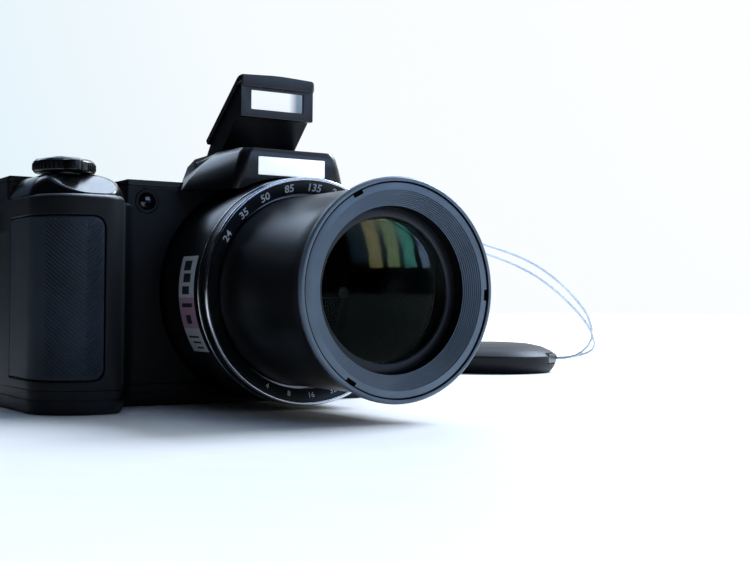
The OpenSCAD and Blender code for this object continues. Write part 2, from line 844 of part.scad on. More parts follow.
module bottom_cover() {
    color("darkgray") {
        difference() {
            // The rounding under the base, in fine steps
            union() {
                for (a = [0 : 15 : 75]) {
                    slab(inset(body_line, foot_round * (1 - cos(75 - a))), foot_round * (1 - cos(a)), base_h);
                }
            }
            difference() {
                slab(inset(body_line, foot_round + 0.4), floor_t, base_h + 1);
                for (s = screw_spots) {
                    translate([s[0], s[1], 0]) {
                        cylinder(r = screw_r + boss_wall, h = base_h + 2);
                    }
                }
                // Bearings of the battery door at both ends of its hinge
                for (e = [-1, 1]) {
                    translate([door_axis_x - 1.4, door_mid_y + e * (door_half + 1.4) - 1.1, 0]) {
                        cube([3.4, 2.2, base_h - 1]);
                    }
                }
            }
            // Groove round the foot
            difference() {
                slab(inset(body_line, -1), groove_z, groove_z + 0.4);
                slab(inset(body_line, 0.4), groove_z - 1, groove_z + 1);
            }
            lens_space();
            translate([0, tripod_y, -1]) {
                cylinder(r = tripod_r + tripod_wall + seat, h = base_h + 2);
            }
            // Hatch, wider at the hinge so that the door's edge can swing out
            for (x = [0, 0.4]) {
                translate([x, 0, 0]) {
                    slab(hatch_line, -1, base_h + 1);
                }
            }
            translate([door_axis_x - 3, door_mid_y - door_half - fit, -1]) {
                cube([5.4, 2 * door_half + 2 * fit, base_h + 2]);
            }
            along_y(door_axis_x, door_axis_z, door_pin_r + run,
                door_mid_y - door_half - 1.6, door_mid_y + door_half + 1.6);
            for (s = screw_spots) {
                translate([s[0], s[1], -1]) {
                    cylinder(r = screw_r + seat, h = base_h + 2);
                    cylinder(r = screw_head_r + fit / 2, h = 2.4);
                }
            }
        }
    }
}

door_half = cell_pitch / 2;

module battery_door() {
    color("lightgray") {
        difference() {
            union() {
                slab(door_line, door_z, door_z + door_t);
                along_y(door_axis_x, door_axis_z, door_pin_r + 0.5,
                    door_mid_y - door_half, door_mid_y + door_half);
                block(door_axis_x - door_reach - 1, door_axis_x, door_mid_y - door_half, door_mid_y + door_half,
                    door_z + 0.2, door_z + door_t);
            }
        }
        along_y(door_axis_x, door_axis_z, door_pin_r,
            door_mid_y - door_half - 1.4, door_mid_y + door_half + 1.4);
    }
}

module case_screws() {
    color("silver") {
        for (s = screw_spots) {
            translate([s[0], s[1], 0.5]) {
                difference() {
                    union() {
                        cylinder(r = screw_head_r, h = 0.9);
                        cylinder(r = screw_r, h = base_h + boss_h - 2.4);
                    }
                    for (a = [0, 90]) {
                        rotate([0, 0, a]) {
                            translate([-screw_head_r * 0.7, -0.18, -eps]) {
                                cube([screw_head_r * 1.4, 0.36, 0.5]);
                            }
                        }
                    }
                }
            }
        }
    }
}

module tripod_socket() {
    color("goldenrod") {
        translate([0, tripod_y, 0]) {
            difference() {
                cylinder(r = tripod_r + tripod_wall, h = tripod_h);
                translate([0, 0, -eps]) {
                    cylinder(r = tripod_r, h = tripod_deep + eps);
                }
            }
        }
    }
}

module control_deck() {
    color("black") {
        difference() {
            loft([
                [deck_seam_h, rounded(deck_long)],
                [deck_seam_h + deck_h * 0.3, rounded(inset(deck_long, 0.5))],
                [deck_seam_h + deck_h * 0.65, rounded(inset(deck_long, 1.8))],
                [deck_seam_h + deck_h * 0.88, rounded(inset(deck_long, 3.4))],
                [deck_top, rounded(inset(deck_long, 5.4))]]);
            intersection() {
                slab(inset(deck_line, wall + 1), deck_seam_h - 1, deck_top - wall);
                block(left_x, root_x - 9, lever_place[1] - hub_r - 2, deck_y, deck_seam_h - 2, deck_top);
            }
            block(left_x - 1, root_x + 1, deck_y - seat, deck_y + deck_h + 1, deck_seam_h - 1, deck_top + 1);
            // The front slopes down to the grip
            translate([0, grip_y, deck_seam_h + 0.4]) {
                rotate([front_slope, 0, 0]) {
                    block(left_x - 1, root_x + 1, -1, 30, 0, 20);
                }
            }
            // The flank beside the front panel slopes down to its seam
            translate([root_x, 0, deck_seam_h + 0.4]) {
                rotate([0, flank_slope, 0]) {
                    block(-30, 10, grip_y - 1, deck_y + 1, 0, 20);
                }
            }
            translate([lever_place[0], lever_place[1], deck_seam_h - 1]) {
                cylinder(r = hub_r + run, h = deck_h + 2);
            }
        }
    }
}

hub_r = shutter_r + 0.6;
lever_z = deck_top + 0.15;
shutter_floor = lever_z + 0.6;

module zoom_lever() {
    color("dimgray") {
        translate([lever_place[0], lever_place[1], 0]) {
            difference() {
                union() {
                    rotate_extrude() {
                        polygon([
                            [0, deck_top - 3.2],
                            [hub_r, deck_top - 3.2],
                            [hub_r, lever_z],
                            [lever_r - 0.5, lever_z],
                            [lever_r, lever_z + 0.5],
                            [lever_r, lever_z + lever_h - 0.8],
                            [lever_r - 0.8, lever_z + lever_h],
                            [0, lever_z + lever_h]]);
                    }
                    translate([0, -lever_r + 1, lever_z + 0.4]) {
                        cylinder(r = lever_nose + 1, h = lever_h - 1);
                    }
                }
                translate([0, 0, shutter_floor]) {
                    cylinder(r = shutter_r + fit, h = lever_h + 1);
                }
                translate([0, 0, deck_top - 4]) {
                    cylinder(r = stem_r + fit / 2, h = lever_h + 4);
                }
            }
        }
    }
}

module shutter_button() {
    color("silver") {
        translate([lever_place[0], lever_place[1], 0]) {
            rotate_extrude() {
                polygon([
                    [0, deck_top - 4.2],
                    [stem_r, deck_top - 4.2],
                    [stem_r, shutter_floor + shutter_travel + fit],
                    [shutter_r, shutter_floor + shutter_travel + fit],
                    [shutter_r, lever_z + lever_h + 0.2],
                    [shutter_r - 0.5, lever_z + lever_h + 0.6],
                    [shutter_r * 0.5, lever_z + lever_h + 0.8],
                    [0, lever_z + lever_h + 0.85]]);
            }
        }
    }
}

module power_button() {
    color("silver") {
        translate([power_place[0], power_place[1], 0]) {
            rotate_extrude() {
                polygon([
                    [0, top_seam_h - 2.4],
                    [power_r + key_flange, top_seam_h - 2.4],
                    [power_r + key_flange, top_seam_h - fit],
                    [power_r, top_seam_h - fit],
                    [power_r, shoulder_h + key_out - 0.3],
                    [power_r - 0.3, shoulder_h + key_out],
                    [0, shoulder_h + key_out]]);
            }
        }
    }
}

// A key in the back: a cap through the wall and a flange behind it
module back_key(i) {
    translate([key_spots[i][0], 0, key_spots[i][1]]) {
        rotate([-90, 0, 0]) {
            rotate_extrude() {
                polygon([
                    [0, key_y],
                    [key_spots[i][2] + key_flange, key_y],
                    [key_spots[i][2] + key_flange, key_y + key_flange_t],
                    [key_spots[i][2], key_y + key_flange_t],
                    [key_spots[i][2], back_y + key_out - 0.3],
                    [key_spots[i][2] - 0.3, back_y + key_out],
                    [0, back_y + key_out]]);
            }
        }
    }
}

module record_button() {
    color("firebrick") {
        back_key(0);
    }
}

module playback_button() {
    color("dimgray") {
        back_key(1);
    }
}

module scene_button() {
    color("dimgray") {
        back_key(2);
    }
}

module menu_button() {
    color("dimgray") {
        back_key(3);
    }
}

module delete_button() {
    color("dimgray") {
        back_key(4);
    }
}

module selector_pad() {
    color("gray") {
        difference() {
            back_key(5);
            along_y(key_spots[5][0], key_spots[5][1], ok_r + fit, key_y - 1, back_y + 3);
        }
    }
}

module ok_button() {
    color("silver") {
        along_y(key_spots[5][0], key_spots[5][1], ok_r, key_y, back_y + key_out + 0.2);
    }
}

module key_board() {
    color("green") {
        block(left_x + wall + fit + 2.6, lcd_x0 - fit, key_board_y, key_board_y + board_t, keys_low,
            top_seam_h - 4);
        for (k = key_spots) {
            along_y(k[0], k[1], 1.3, key_board_y + board_t - eps, key_y - key_travel - 0.1);
        }
    }
}

module lcd_panel() {
    color("black") {
        block(lcd_x0, -lcd_x0, lcd_y, lcd_y + lcd_t, lcd_low, lcd_low + lcd_h);
    }
}

module lcd_window() {
    color("lightblue") {
        block(lcd_x0 + lcd_lap + seat, -lcd_x0 - lcd_lap - seat, back_y - 0.2 - window_t, back_y - 0.2,
            lcd_low + lcd_lap + seat, lcd_low + lcd_h - lcd_lap - seat);
    }
}

module lamp_window() {
    color("orange") {
        translate([-lamp_x, 0, lamp_z]) {
            rotate([-90, 0, 0]) {
                rotate_extrude() {
                    polygon([
                        [0, front_y + 1],
                        [lamp_r * 0.62, front_y + 1],
                        [lamp_r * 0.72, front_y - 0.2],
                        [lamp_r - 0.2, front_y - 0.2],
                        [lamp_r, front_y],
                        [lamp_r, front_y + wall - 0.1],
                        [0, front_y + wall - 0.1]]);
                }
            }
        }
    }
}

module connector_door() {
    color("dimgray") {
        difference() {
            block(right_end - flap_t, right_end, flap_y0, flap_y1, flap_low, flap_z1);
            block(right_end - 0.5, right_end + 1, flap_y0 - 1, flap_y0 + 1, flap_low + flap_h * 0.35,
                flap_low + flap_h * 0.65);
            // Rounded back so that the flap can swing in its seat
            translate([flap_pin_x, flap_pin_y, flap_low - 1]) {
                difference() {
                    translate([-flap_t, 0, 0]) {
                        cube([2 * flap_t, 3, flap_h + 2]);
                    }
                    cylinder(r = flap_t / 2, h = flap_h + 2);
                }
            }
        }
        translate([flap_pin_x, flap_pin_y, flap_low - 1.4]) {
            cylinder(r = flap_pin_r, h = flap_h + 2.8);
        }
    }
}

module connector_sockets() {
    color("silver") {
        for (s = socket_spots) {
            difference() {
                block(right_end - flap_t - 2 * fit - socket_l, right_end - flap_t - 2 * fit,
                    socket_y, socket_y + socket_d, s[0], s[1]);
                block(right_end - flap_t - 2 * fit - socket_l + 2, right_end,
                    socket_y + 0.5, socket_y + socket_d - 0.5, s[0] + 0.5, s[1] - 0.5);
            }
        }
    }
}

lug_y = front_y + 20;
lug_mid = [right_end + lug_out - lug_bar / 2, lug_y, lug_z];

module strap_lugs() {
    color("silver") {
        for (e = [0, 1]) {
            translate([e == 0 ? right_end : left_x, lug_y, lug_z]) {
                mirror([e, 0, 0]) {
                    difference() {
                        translate([0, lug_t / 2, 0]) {
                            rotate([90, 0, 0]) {
                                linear_extrude(lug_t) {
                                    polygon(rounded([
                                        [0, -lug_h / 2, 0.1],
                                        [lug_out, -lug_h / 2, 2],
                                        [lug_out, lug_h / 2, 2],
                                        [0, lug_h / 2, 0.1]]));
                                }
                            }
                        }
                        translate([lug_out - lug_bar - lug_slot, -lug_t, -lug_h / 2 + 1.6]) {
                            cube([lug_slot, 2 * lug_t, lug_h - 3.2]);
                        }
                    }
                }
            }
        }
    }
}

// Power

module battery_box() {
    color("dimgray") {
        difference() {
            slab(inset(cell_line, -box_r), cell_z + 1, box_top);
            for (s = cell_spots) {
                translate([s[0], s[1], cell_z - 1]) {
                    cylinder(r = cell_bore, h = cell_l + 1 + fit);
                }
            }
        }
    }
}

module battery_cells() {
    color("gold") {
        for (s = cell_spots) {
            translate([s[0], s[1], cell_z]) {
                cylinder(r = cell_r, h = cell_l - 1.2);
                cylinder(r = cell_r * 0.38, h = cell_l);
            }
        }
    }
}

// Fixed lens parts

module lens_collar() {
    color("dimgray") {
        lens_turn([
            [collar_in, gear_y - fit],
            [collar_in, ring_y + name_t + 1.4],
            [collar_r - 1.1, ring_y + name_t + 1.4],
            [collar_r - 1.1, ring_y + trim_w + seat],
            [collar_r, ring_y + trim_w + seat],
            [collar_r, ring_y + trim_step],
            [collar_r - 0.5, ring_y + trim_step],
            [collar_r - 0.5, ring_y + trim_step + 0.6],
            [collar_r, ring_y + trim_step + 0.6],
            [collar_r, gear_y - fit]]);
    }
}

module trim_rings() {
    color("silver") {
        lens_turn([
            [collar_r - trim_t, ring_y],
            [collar_r - 0.3, ring_y],
            [collar_r, ring_y + 0.3],
            [collar_r, ring_y + trim_w],
            [collar_r - trim_t, ring_y + trim_w]]);
        lens_turn([
            [collar_r - 0.5 + seat, ring_y + trim_step + seat],
            [collar_r + 0.1, ring_y + trim_step + seat],
            [collar_r + 0.1, ring_y + trim_step + 0.6 - seat],
            [collar_r - 0.5 + seat, ring_y + trim_step + 0.6 - seat]]);
    }
}

module name_ring() {
    color("black") {
        lens_turn([
            [name_r, ring_y + 1.6],
            [collar_r - 1.1 - seat, ring_y + 0.3],
            [collar_r - 1.1 - seat, ring_y + name_t + 1.4 - seat],
            [name_r, ring_y + name_t + 1.4 - seat]]);
    }
}

tube_y = ring_y + name_t + 1.4 + 2 * fit;

module guide_tube() {
    color("silver") {
        difference() {
            lens_turn([
                [guide_in, tube_y],
                [guide_out, tube_y],
                [guide_out, guide_end - 1.2],
                [guide_out + 1.4, guide_end - 1.2],
                [guide_out + 1.4, guide_end],
                [guide_in, guide_end]]);
            for (a = [30, 150, 270]) {
                translate([0, 0, lens_z]) {
                    rotate([0, a, 0]) {
                        block(guide_in - 2, guide_out + 0.5, follower_y - barrel_more - follower_r - fit,
                            follower_y + travel + follower_r + fit, -follower_r - fit, follower_r + fit);
                    }
                }
            }
        }
    }
}

// Points of a gear with straight-sided teeth, the first one at angle a
function gear_line(n, m, a) = [for (i = [0 : n - 1])
    let (p = 360 / n, r = n * m / 2, c = a + i * p)
    for (q = [[-0.27, -1.1], [-0.12, 0.75], [0.12, 0.75], [0.27, -1.1]])
        (r + m * q[1]) * [cos(c + p * q[0]), sin(c + p * q[0])]];

module drive_ring() {
    color("peru") {
        translate([0, gear_y, lens_z]) {
            rotate([-90, 0, 0]) {
                difference() {
                    linear_extrude(gear_w) {
                        polygon(gear_line(drive_n, gear_m, -pinion_turn));
                    }
                    translate([0, 0, -1]) {
                        cylinder(r = drive_in, h = gear_w + 2);
                    }
                }
            }
        }
        lens_turn([
            [drive_in, tube_y],
            [drive_out, tube_y],
            [drive_out, gear_y + gear_w],
            [drive_in, gear_y + gear_w]]);
    }
}

module zoom_pinion() {
    color("khaki") {
        translate([pinion_x, gear_y, pinion_z]) {
            rotate([-90, 0, 0]) {
                linear_extrude(gear_w) {
                    polygon(gear_line(pinion_n, gear_m, 180 - pinion_turn + 180 / pinion_n));
                }
                cylinder(r = shaft_r, h = motor_y - gear_y + 4);
            }
        }
    }
}

module zoom_motor() {
    color("silver") {
        difference() {
            along_y(pinion_x, pinion_z, motor_r, motor_y, chassis_y);
            along_y(pinion_x, pinion_z, shaft_r + run, motor_y - 1, motor_y + 4.5);
        }
    }
}

module guide_rods() {
    color("silver") {
        for (e = [-1, 1]) {
            along_y(e * rod_place, lens_z, rod_r, zoom_y - 8, chassis_y + chassis_t);
        }
    }
}

chassis_left = cell_x + cell_column + box_r + 1;

module chassis() {
    color("lightsteelblue") {
        difference() {
            block(chassis_left, right_end - wall - fit, chassis_y, chassis_y + chassis_t, base_h + seat,
                top_seam_h - fit);
            along_y(0, lens_z, rod_place - rod_r - 1.5, chassis_y - 1, chassis_y + chassis_t + 1);
            for (e = [-1, 1]) {
                along_y(e * rod_place, lens_z, rod_r + seat, chassis_y - 1, chassis_y + chassis_t + 1);
            }
        }
    }
}

module sensor_board() {
    color("darkgreen") {
        difference() {
            block(-rod_place + 1, rod_place - 1, chassis_y + chassis_t, chassis_y + chassis_t + board_t,
                lens_z - rod_place + 4, lens_z + rod_place - 4);
            for (e = [-1, 1]) {
                along_y(e * rod_place, lens_z, rod_r + 0.5, chassis_y, chassis_y + chassis_t + board_t + 1);
            }
        }
        block(-4.5, 4.5, chassis_y + chassis_t - 1.6, chassis_y + chassis_t, lens_z - 3.6, lens_z + 3.6);
    }
}

module main_board() {
    color("green") {
        block(lcd_x0, right_end - wall - fit - 1, board_y, board_y + board_t, lcd_low, lcd_low + lcd_h);
        block(-26, -12, board_y - 1.2, board_y + eps, lcd_low + 4, lcd_low + 18);
        block(-8, 6, board_y - 1.2, board_y + eps, lcd_low + 26, lcd_low + 40);
    }
}

module flash_capacitor() {
    color("navy") {
        translate([-drive_out - 0.5 - capacitor_r, chassis_y - seat - capacitor_r, base_h + seat]) {
            cylinder(r = capacitor_r, h = capacitor_l);
        }
    }
}

// Sliding barrel

module lens_barrel() {
    color("dimgray") {
        difference() {
            lens_turn(concat(
                [[barrel_r - barrel_wall, barrel_end], [barrel_r - barrel_wall, seat_y],
                    [bezel_r + lip_gap, seat_y], [bezel_r + lip_gap, face_y - 0.3],
                    [lip_r - 0.4, face_y - 0.3], [lip_r, face_y + 0.2], [lip_r, face_y + 1]],
                [for (i = [1 : 8]) let (t = i / 8)
                    [barrel_r + (lip_r - barrel_r) * pow(1 - t, 2), face_y + 1 + flare_l * t]],
                [[barrel_r, barrel_end]]));
        }
        for (a = [30, 150, 270]) {
            translate([0, 0, lens_z]) {
                rotate([0, a, 0]) {
                    along_x(follower_y, 0, follower_r, barrel_r - 1, guide_out - 0.2);
                }
            }
        }
    }
}

bezel_tail = barrel_r - barrel_wall - seat;

module front_bezel() {
    color("black") {
        difference() {
            lens_turn(concat(
                [[bezel_tail, bezel_back], [bezel_tail, seat_y], [bezel_r, seat_y],
                    [bezel_r, face_y + 0.1], [bezel_r - 0.2, face_y], [step_r, face_y]],
                [for (i = [0 : step_n - 1])
                    let (dr = (step_r - opening_r) / step_n, dy = step_depth / step_n)
                    each [[step_r - i * dr, face_y + (i + 1) * dy],
                        [step_r - (i + 1) * dr, face_y + (i + 1) * dy]]],
                [[opening_r, bezel_back]]));
            for (a = [2, 122, 242]) {
                translate([0, 0, lens_z]) {
                    rotate([0, a, 0]) {
                        block(bezel_r - 0.9, bezel_r + 2, face_y - 1, face_y + 1.2, -notch_w / 2, notch_w / 2);
                    }
                }
            }
        }
    }
}

cell_ledge = glass_y + glass_t;

module element_cell() {
    color("dimgray") {
        lens_turn([
            [glass_r + seat, bezel_back + seat],
            [bezel_tail, bezel_back + seat],
            [bezel_tail, cell_ledge + 1.4],
            [glass_r - 1.6, cell_ledge + 1.4],
            [glass_r - 1.6, cell_ledge + seat],
            [glass_r + seat, cell_ledge + seat]]);
    }
}

// Depth of a bulged front at distance x from its middle, against its rim
function bulge(r, sag, x) =
    let (big = (r * r + sag * sag) / (2 * sag))
    big - sag - sqrt(big * big - x * x);

// A glass with a bulged front and a flat back, from its radius, rim depth and bulge
function bulged(r, y0, t, sag) =
    concat([for (i = [0 : 10]) let (x = r * i / 10) [x, y0 + bulge(r, sag, x)]],
        [[r, y0 + t], [0, y0 + t]]);

module front_element() {
    color("lightcyan") {
        lens_turn(bulged(glass_r, glass_y, glass_t, glass_sag));
    }
}

retainer_y = glass_y + bulge(glass_r, glass_sag, retainer_r) - seat;

module element_retainer() {
    color("silver") {
        lens_turn([
            [retainer_r, retainer_y],
            [retainer_r, retainer_y - 0.3],
            [retainer_r + 0.3, retainer_y - 0.6],
            [opening_r - seat, retainer_y - 0.6],
            [opening_r - seat, glass_y + 0.6],
            [glass_r + seat, glass_y + 0.6],
            [glass_r + seat, glass_y - seat]]);
    }
}

// Inner moving groups

module carriage(y0, t, bore) {
    difference() {
        lens_turn([[bore, y0], [carriage_r, y0], [carriage_r, y0 + t], [bore, y0 + t]]);
        for (e = [-1, 1]) {
            along_y(e * rod_place, lens_z, rod_r + run, y0 - 1, y0 + t + 1);
        }
    }
}

module zoom_carriage() {
    color("dimgray") {
        carriage(zoom_y, carriage_t, zoom_lens_r + seat);
    }
}

module zoom_lens() {
    color("lightcyan") {
        lens_turn(bulged(zoom_lens_r, zoom_y + 0.6, carriage_t - 1.2, 1));
    }
}

module aperture_unit() {
    color("black") {
        lens_turn([
            [zoom_lens_r - 3, zoom_y + carriage_t],
            [zoom_lens_r + 3.5, zoom_y + carriage_t],
            [zoom_lens_r + 3.5, zoom_y + carriage_t + 1.8],
            [zoom_lens_r - 3, zoom_y + carriage_t + 1.8]]);
    }
}

module focus_carriage() {
    color("dimgray") {
        carriage(focus_y, focus_t, focus_lens_r + seat);
    }
}

module focus_lens() {
    color("lightcyan") {
        lens_turn(bulged(focus_lens_r, focus_y + 0.5, focus_t - 0.8, 0.4));
    }
}

// Flash, raised

lid_low = lid_tip - lid_up * lid_t;

// Height of the lid's underside at y
function lid_under(y) = lid_low[1] + (y - lid_low[0]) * lid_way[1] / lid_way[0];

module flash_cover() {
    color("slategray") {
        intersection() {
            side_plate([
                lid_tip,
                [flash_y, flash_top - band_h],
                [front_step_y - seat, flash_top - band_h],
                [front_step_y - seat, lid_under(front_step_y - seat)],
                lid_tip + lid_way * lid_l - lid_up * lid_t,
                lid_tip + lid_way * lid_l], flash_w / 2);
            // Bowed front edge and rounded corners, seen from above
            slab([
                [flash_w / 2, hinge_y + 5, 1],
                [-flash_w / 2, hinge_y + 5, 1],
                [-flash_w / 2, flash_y + 0.6, 1.6],
                [0, flash_y, 60],
                [flash_w / 2, flash_y + 0.6, 1.6]], flash_top - 30, flash_top + 1);
        }
    }
}

flash_foot = flash_top - flash_h;
lid_end = lid_tip + lid_way * (lid_l - 1) - lid_up * (lid_t + seat);
window_z0 = flash_foot + window_low;
window_z1 = window_z0 + window_h;

module flash_housing() {
    color("black") {
        difference() {
            union() {
                side_plate([
                    [front_step_y, flash_foot],
                    [front_step_y, lid_under(front_step_y) - seat],
                    lid_end,
                    [hinge_y - 2.4, hinge_z + 2.6],
                    [hinge_y, hinge_z],
                    [hinge_y - 2, hinge_z - 1.4],
                    [hinge_y - 12, hinge_z + 2.3],
                    [front_step_y + 1.9, flash_foot + 1.2],
                    [front_step_y + 1.9, flash_foot]], box_half);
                along_x(hinge_y, hinge_z, knuckle_r, -box_half, box_half);
            }
            // Hollow behind the window
            side_plate([
                [front_step_y - 1, window_z0],
                [front_step_y - 1, window_z1],
                [front_step_y + 1.5, window_z1],
                [front_step_y + 6.4, window_z1 - 3.7],
                [front_step_y + 6.4, window_z0]], window_w / 2);
            along_x(hinge_y, hinge_z, hinge_pin_r + run, -box_half - 1, box_half + 1);
        }
    }
}

module flash_window() {
    color("white") {
        side_plate([
            [front_step_y + 0.2, window_z0 + seat],
            [front_step_y + 0.2, window_z1 - seat],
            [front_step_y + 1.4, window_z1 - seat],
            [front_step_y + 1.4, window_z0 + seat]], window_w / 2 - seat);
    }
}

module flash_reflector() {
    color("silver") {
        difference() {
            side_plate([
                [front_step_y + 1.5, window_z0 + seat],
                [front_step_y + 1.5, window_z1 - 2 * seat],
                [front_step_y + 6.2, window_z1 - 3.7],
                [front_step_y + 6.2, window_z0 + seat]], window_w / 2 - seat);
            side_plate([
                [front_step_y + 1, window_z0 + 0.4],
                [front_step_y + 1, window_z1 - 0.4],
                [front_step_y + 3.4, window_z1 - 2.2],
                [front_step_y + 5.2, window_z1 - 3.6],
                [front_step_y + 5.2, window_z0 + 0.9],
                [front_step_y + 3.4, window_z0 + 0.6]], window_w / 2 - 0.6);
        }
        along_x(front_step_y + 3.4, window_z0 + 1.9, 0.8, -window_w / 2 + 0.3, window_w / 2 - 0.3);
    }
}

module flash_pin() {
    color("silver") {
        along_x(hinge_y, hinge_z, hinge_pin_r, -pin_half, pin_half);
    }
}

// Cap and its cord

module at_cap() {
    translate([cap_x, cap_y, 0]) {
        rotate([0, 0, cap_tilt]) {
            children();
        }
    }
}

tab_z = cap_waist - 0.8;
tab_out = cap_r - 0.8;

module lens_cap() {
    color("dimgray") {
        at_cap() {
            difference() {
                rotate_extrude() {
                    polygon([
                        [0, cap_h - cap_top_t],
                        [cap_in_r - 2, cap_h - cap_top_t],
                        [cap_in_r, cap_h - cap_top_t - 2],
                        [cap_in_r, 0],
                        [cap_foot_r, 0],
                        [cap_foot_r + (cap_r - cap_foot_r) * 0.62, cap_waist * 0.34],
                        [cap_foot_r + (cap_r - cap_foot_r) * 0.92, cap_waist * 0.75],
                        [cap_r, cap_waist],
                        [cap_r - 0.5, cap_waist + 0.6],
                        [cap_r - 3, cap_waist + (cap_h - cap_waist) * 0.42],
                        [cap_r - 7, cap_waist + (cap_h - cap_waist) * 0.72],
                        [cap_r - 13, cap_waist + (cap_h - cap_waist) * 0.92],
                        [cap_r - 21, cap_h],
                        [0, cap_h]]);
                }
                for (e = [-1, 1]) {
                    translate([e * (tab_out - (tab_l + tab_travel) / 2 + 1), 0, tab_z]) {
                        cube([tab_l + tab_travel + 2 + 2 * fit, tab_w + 2 * fit, tab_h + 2 * fit],
                            center = true);
                    }
                }
                // Two holes for the cord
                rotate([0, 0, cord_turn - cap_tilt]) {
                    for (e = [-1, 1]) {
                        along_x(e * cord_gap, cord_z, cord_r + 2 * fit, cap_in_r - 2, cap_r + 2);
                    }
                }
            }
        }
    }
}

module cap_tab(e) {
    at_cap() {
        translate([e * (tab_out - tab_l / 2), 0, tab_z]) {
            cube([tab_l, tab_w, tab_h], center = true);
        }
    }
}

module cap_tab_left() {
    color("gray") {
        cap_tab(-1);
    }
}

module cap_tab_right() {
    color("gray") {
        cap_tab(1);
    }
}

ring_r = 2.2;
ring_t = 0.45;
crimp_r = 1.5;
crimp_l = cord_spots[0][0] - lug_mid[0] - ring_r - 0.4;

module tether_crimp() {
    color("silver") {
        translate(lug_mid) {
            rotate_extrude() {
                translate([ring_r, 0]) {
                    circle(r = ring_t);
                }
            }
            translate([ring_r + 0.2, 0, 0]) {
                rotate([0, 90, 0]) {
                    cylinder(r = crimp_r, h = crimp_l);
                }
            }
        }
    }
}

// A smooth curve through the chosen points, with at least three steps from each to the next
function between(a, b, c, d, t) =
    0.5 * (2 * b + (c - a) * t + (2 * a - 5 * b + 4 * c - d) * t * t + (3 * b - a - 3 * c + d) * t * t * t);

cord_last = len(cord_spots) - 1;
cord_way = concat([for (i = [0 : cord_last - 1])
    let (a = cord_spots[max(i - 1, 0)],
        b = cord_spots[i],
        c = cord_spots[i + 1],
        d = cord_spots[min(i + 2, cord_last)],
        n = max(2, ceil(norm(c - b) / 7)))
    for (k = [0 : n - 1]) between(a, b, c, d, k / n)], [cord_spots[cord_last]]);

function cord_ring(i) =
    let (way = unit(cord_way[min(i + 1, len(cord_way) - 1)] - cord_way[max(i - 1, 0)]),
        side = unit(cross([0, 0, 1], way)),
        over = cross(way, side))
    [for (k = [0 : cord_sides - 1]) let (a = 360 * k / cord_sides)
        cord_way[i] + cord_r * (cos(a) * side + sin(a) * over)];

module tether_cord() {
    color("black") {
        skin([for (i = [0 : len(cord_way) - 1]) cord_ring(i)]);
    }
}

front_cover();
rear_cover();
top_cover();
bottom_cover();
control_deck();
grip_pad();
lens_collar();
trim_rings();
name_ring();
guide_tube();
drive_ring();
zoom_pinion();
zoom_motor();
lens_barrel();
front_bezel();
element_cell();
front_element();
element_retainer();
zoom_carriage();
zoom_lens();
aperture_unit();
focus_carriage();
focus_lens();
guide_rods();
chassis();
sensor_board();
main_board();
flash_capacitor();
flash_cover();
flash_housing();
flash_window();
flash_reflector();
flash_pin();
shutter_button();
zoom_lever();
power_button();
record_button();
playback_button();
scene_button();
menu_button();
delete_button();
selector_pad();
ok_button();
key_board();
lcd_panel();
lcd_window();
lamp_window();
battery_box();
battery_cells();
battery_door();
connector_door();
connector_sockets();
strap_lugs();
tripod_socket();
case_screws();
lens_cap();
cap_tab_left();
cap_tab_right();
tether_crimp();
tether_cord();
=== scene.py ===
import math

import bmesh
import bpy
from mathutils import Matrix, Vector


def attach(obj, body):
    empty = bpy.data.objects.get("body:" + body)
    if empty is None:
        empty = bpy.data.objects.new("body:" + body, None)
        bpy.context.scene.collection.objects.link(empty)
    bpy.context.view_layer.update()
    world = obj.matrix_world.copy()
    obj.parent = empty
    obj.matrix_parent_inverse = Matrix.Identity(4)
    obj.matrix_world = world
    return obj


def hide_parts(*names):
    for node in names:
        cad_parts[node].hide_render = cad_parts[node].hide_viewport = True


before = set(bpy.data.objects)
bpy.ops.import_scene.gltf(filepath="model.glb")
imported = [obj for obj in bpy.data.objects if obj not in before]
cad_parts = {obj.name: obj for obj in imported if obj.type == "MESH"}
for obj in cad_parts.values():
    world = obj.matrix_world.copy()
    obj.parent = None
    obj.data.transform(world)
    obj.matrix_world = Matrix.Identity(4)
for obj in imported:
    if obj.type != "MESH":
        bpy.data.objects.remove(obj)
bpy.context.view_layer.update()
print("frame loaded:", len(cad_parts), "nodes")

mm = 0.001
lensZ = 32 * mm  # height of the lens axis
weldGap = 0.000002  # points of a new piece that are nearer than this become one
copyGap = 0.000003  # the same for a copied node
ringSteps = 192  # faces round the large rings
glassSteps = 160


# Small helpers

def toLinear(hexText):
    parts = [int(hexText[i:i + 2], 16) / 255 for i in (1, 3, 5)]
    return tuple(c / 12.92 if c <= 0.04045 else ((c + 0.055) / 1.055) ** 2.4 for c in parts) + (1.0,)


def addNode(tree, kind, settings, links):
    node = tree.nodes.new(kind)
    for key, value in settings.items():
        if key in node.inputs:
            node.inputs[key].default_value = value
        else:
            setattr(node, key, value)
    for key, (source, output) in links.items():
        tree.links.new(source.outputs[output], node.inputs[key])
    return node


# From 0 at the start to 1 after the width
def fadeIn(value, start, width):
    return min(1, max(0, (value - start) / width))


def inMetres(spot):
    return [c * mm for c in spot]


def focusOn(piece):
    bpy.ops.object.select_all(action="DESELECT")
    piece.select_set(True)
    bpy.context.view_layer.objects.active = piece


def newPiece(name, points, edges=(), faces=()):
    mesh = bpy.data.meshes.new(name)
    mesh.from_pydata(points, list(edges), list(faces))
    piece = bpy.data.objects.new(name, mesh)
    bpy.context.scene.collection.objects.link(piece)
    focusOn(piece)
    return piece


def applyModifier(piece, kind, settings):
    focusOn(piece)
    modifier = piece.modifiers.new(kind.lower(), kind)
    for key, value in settings.items():
        setattr(modifier, key, value)
    bpy.ops.object.modifier_apply(modifier=modifier.name)


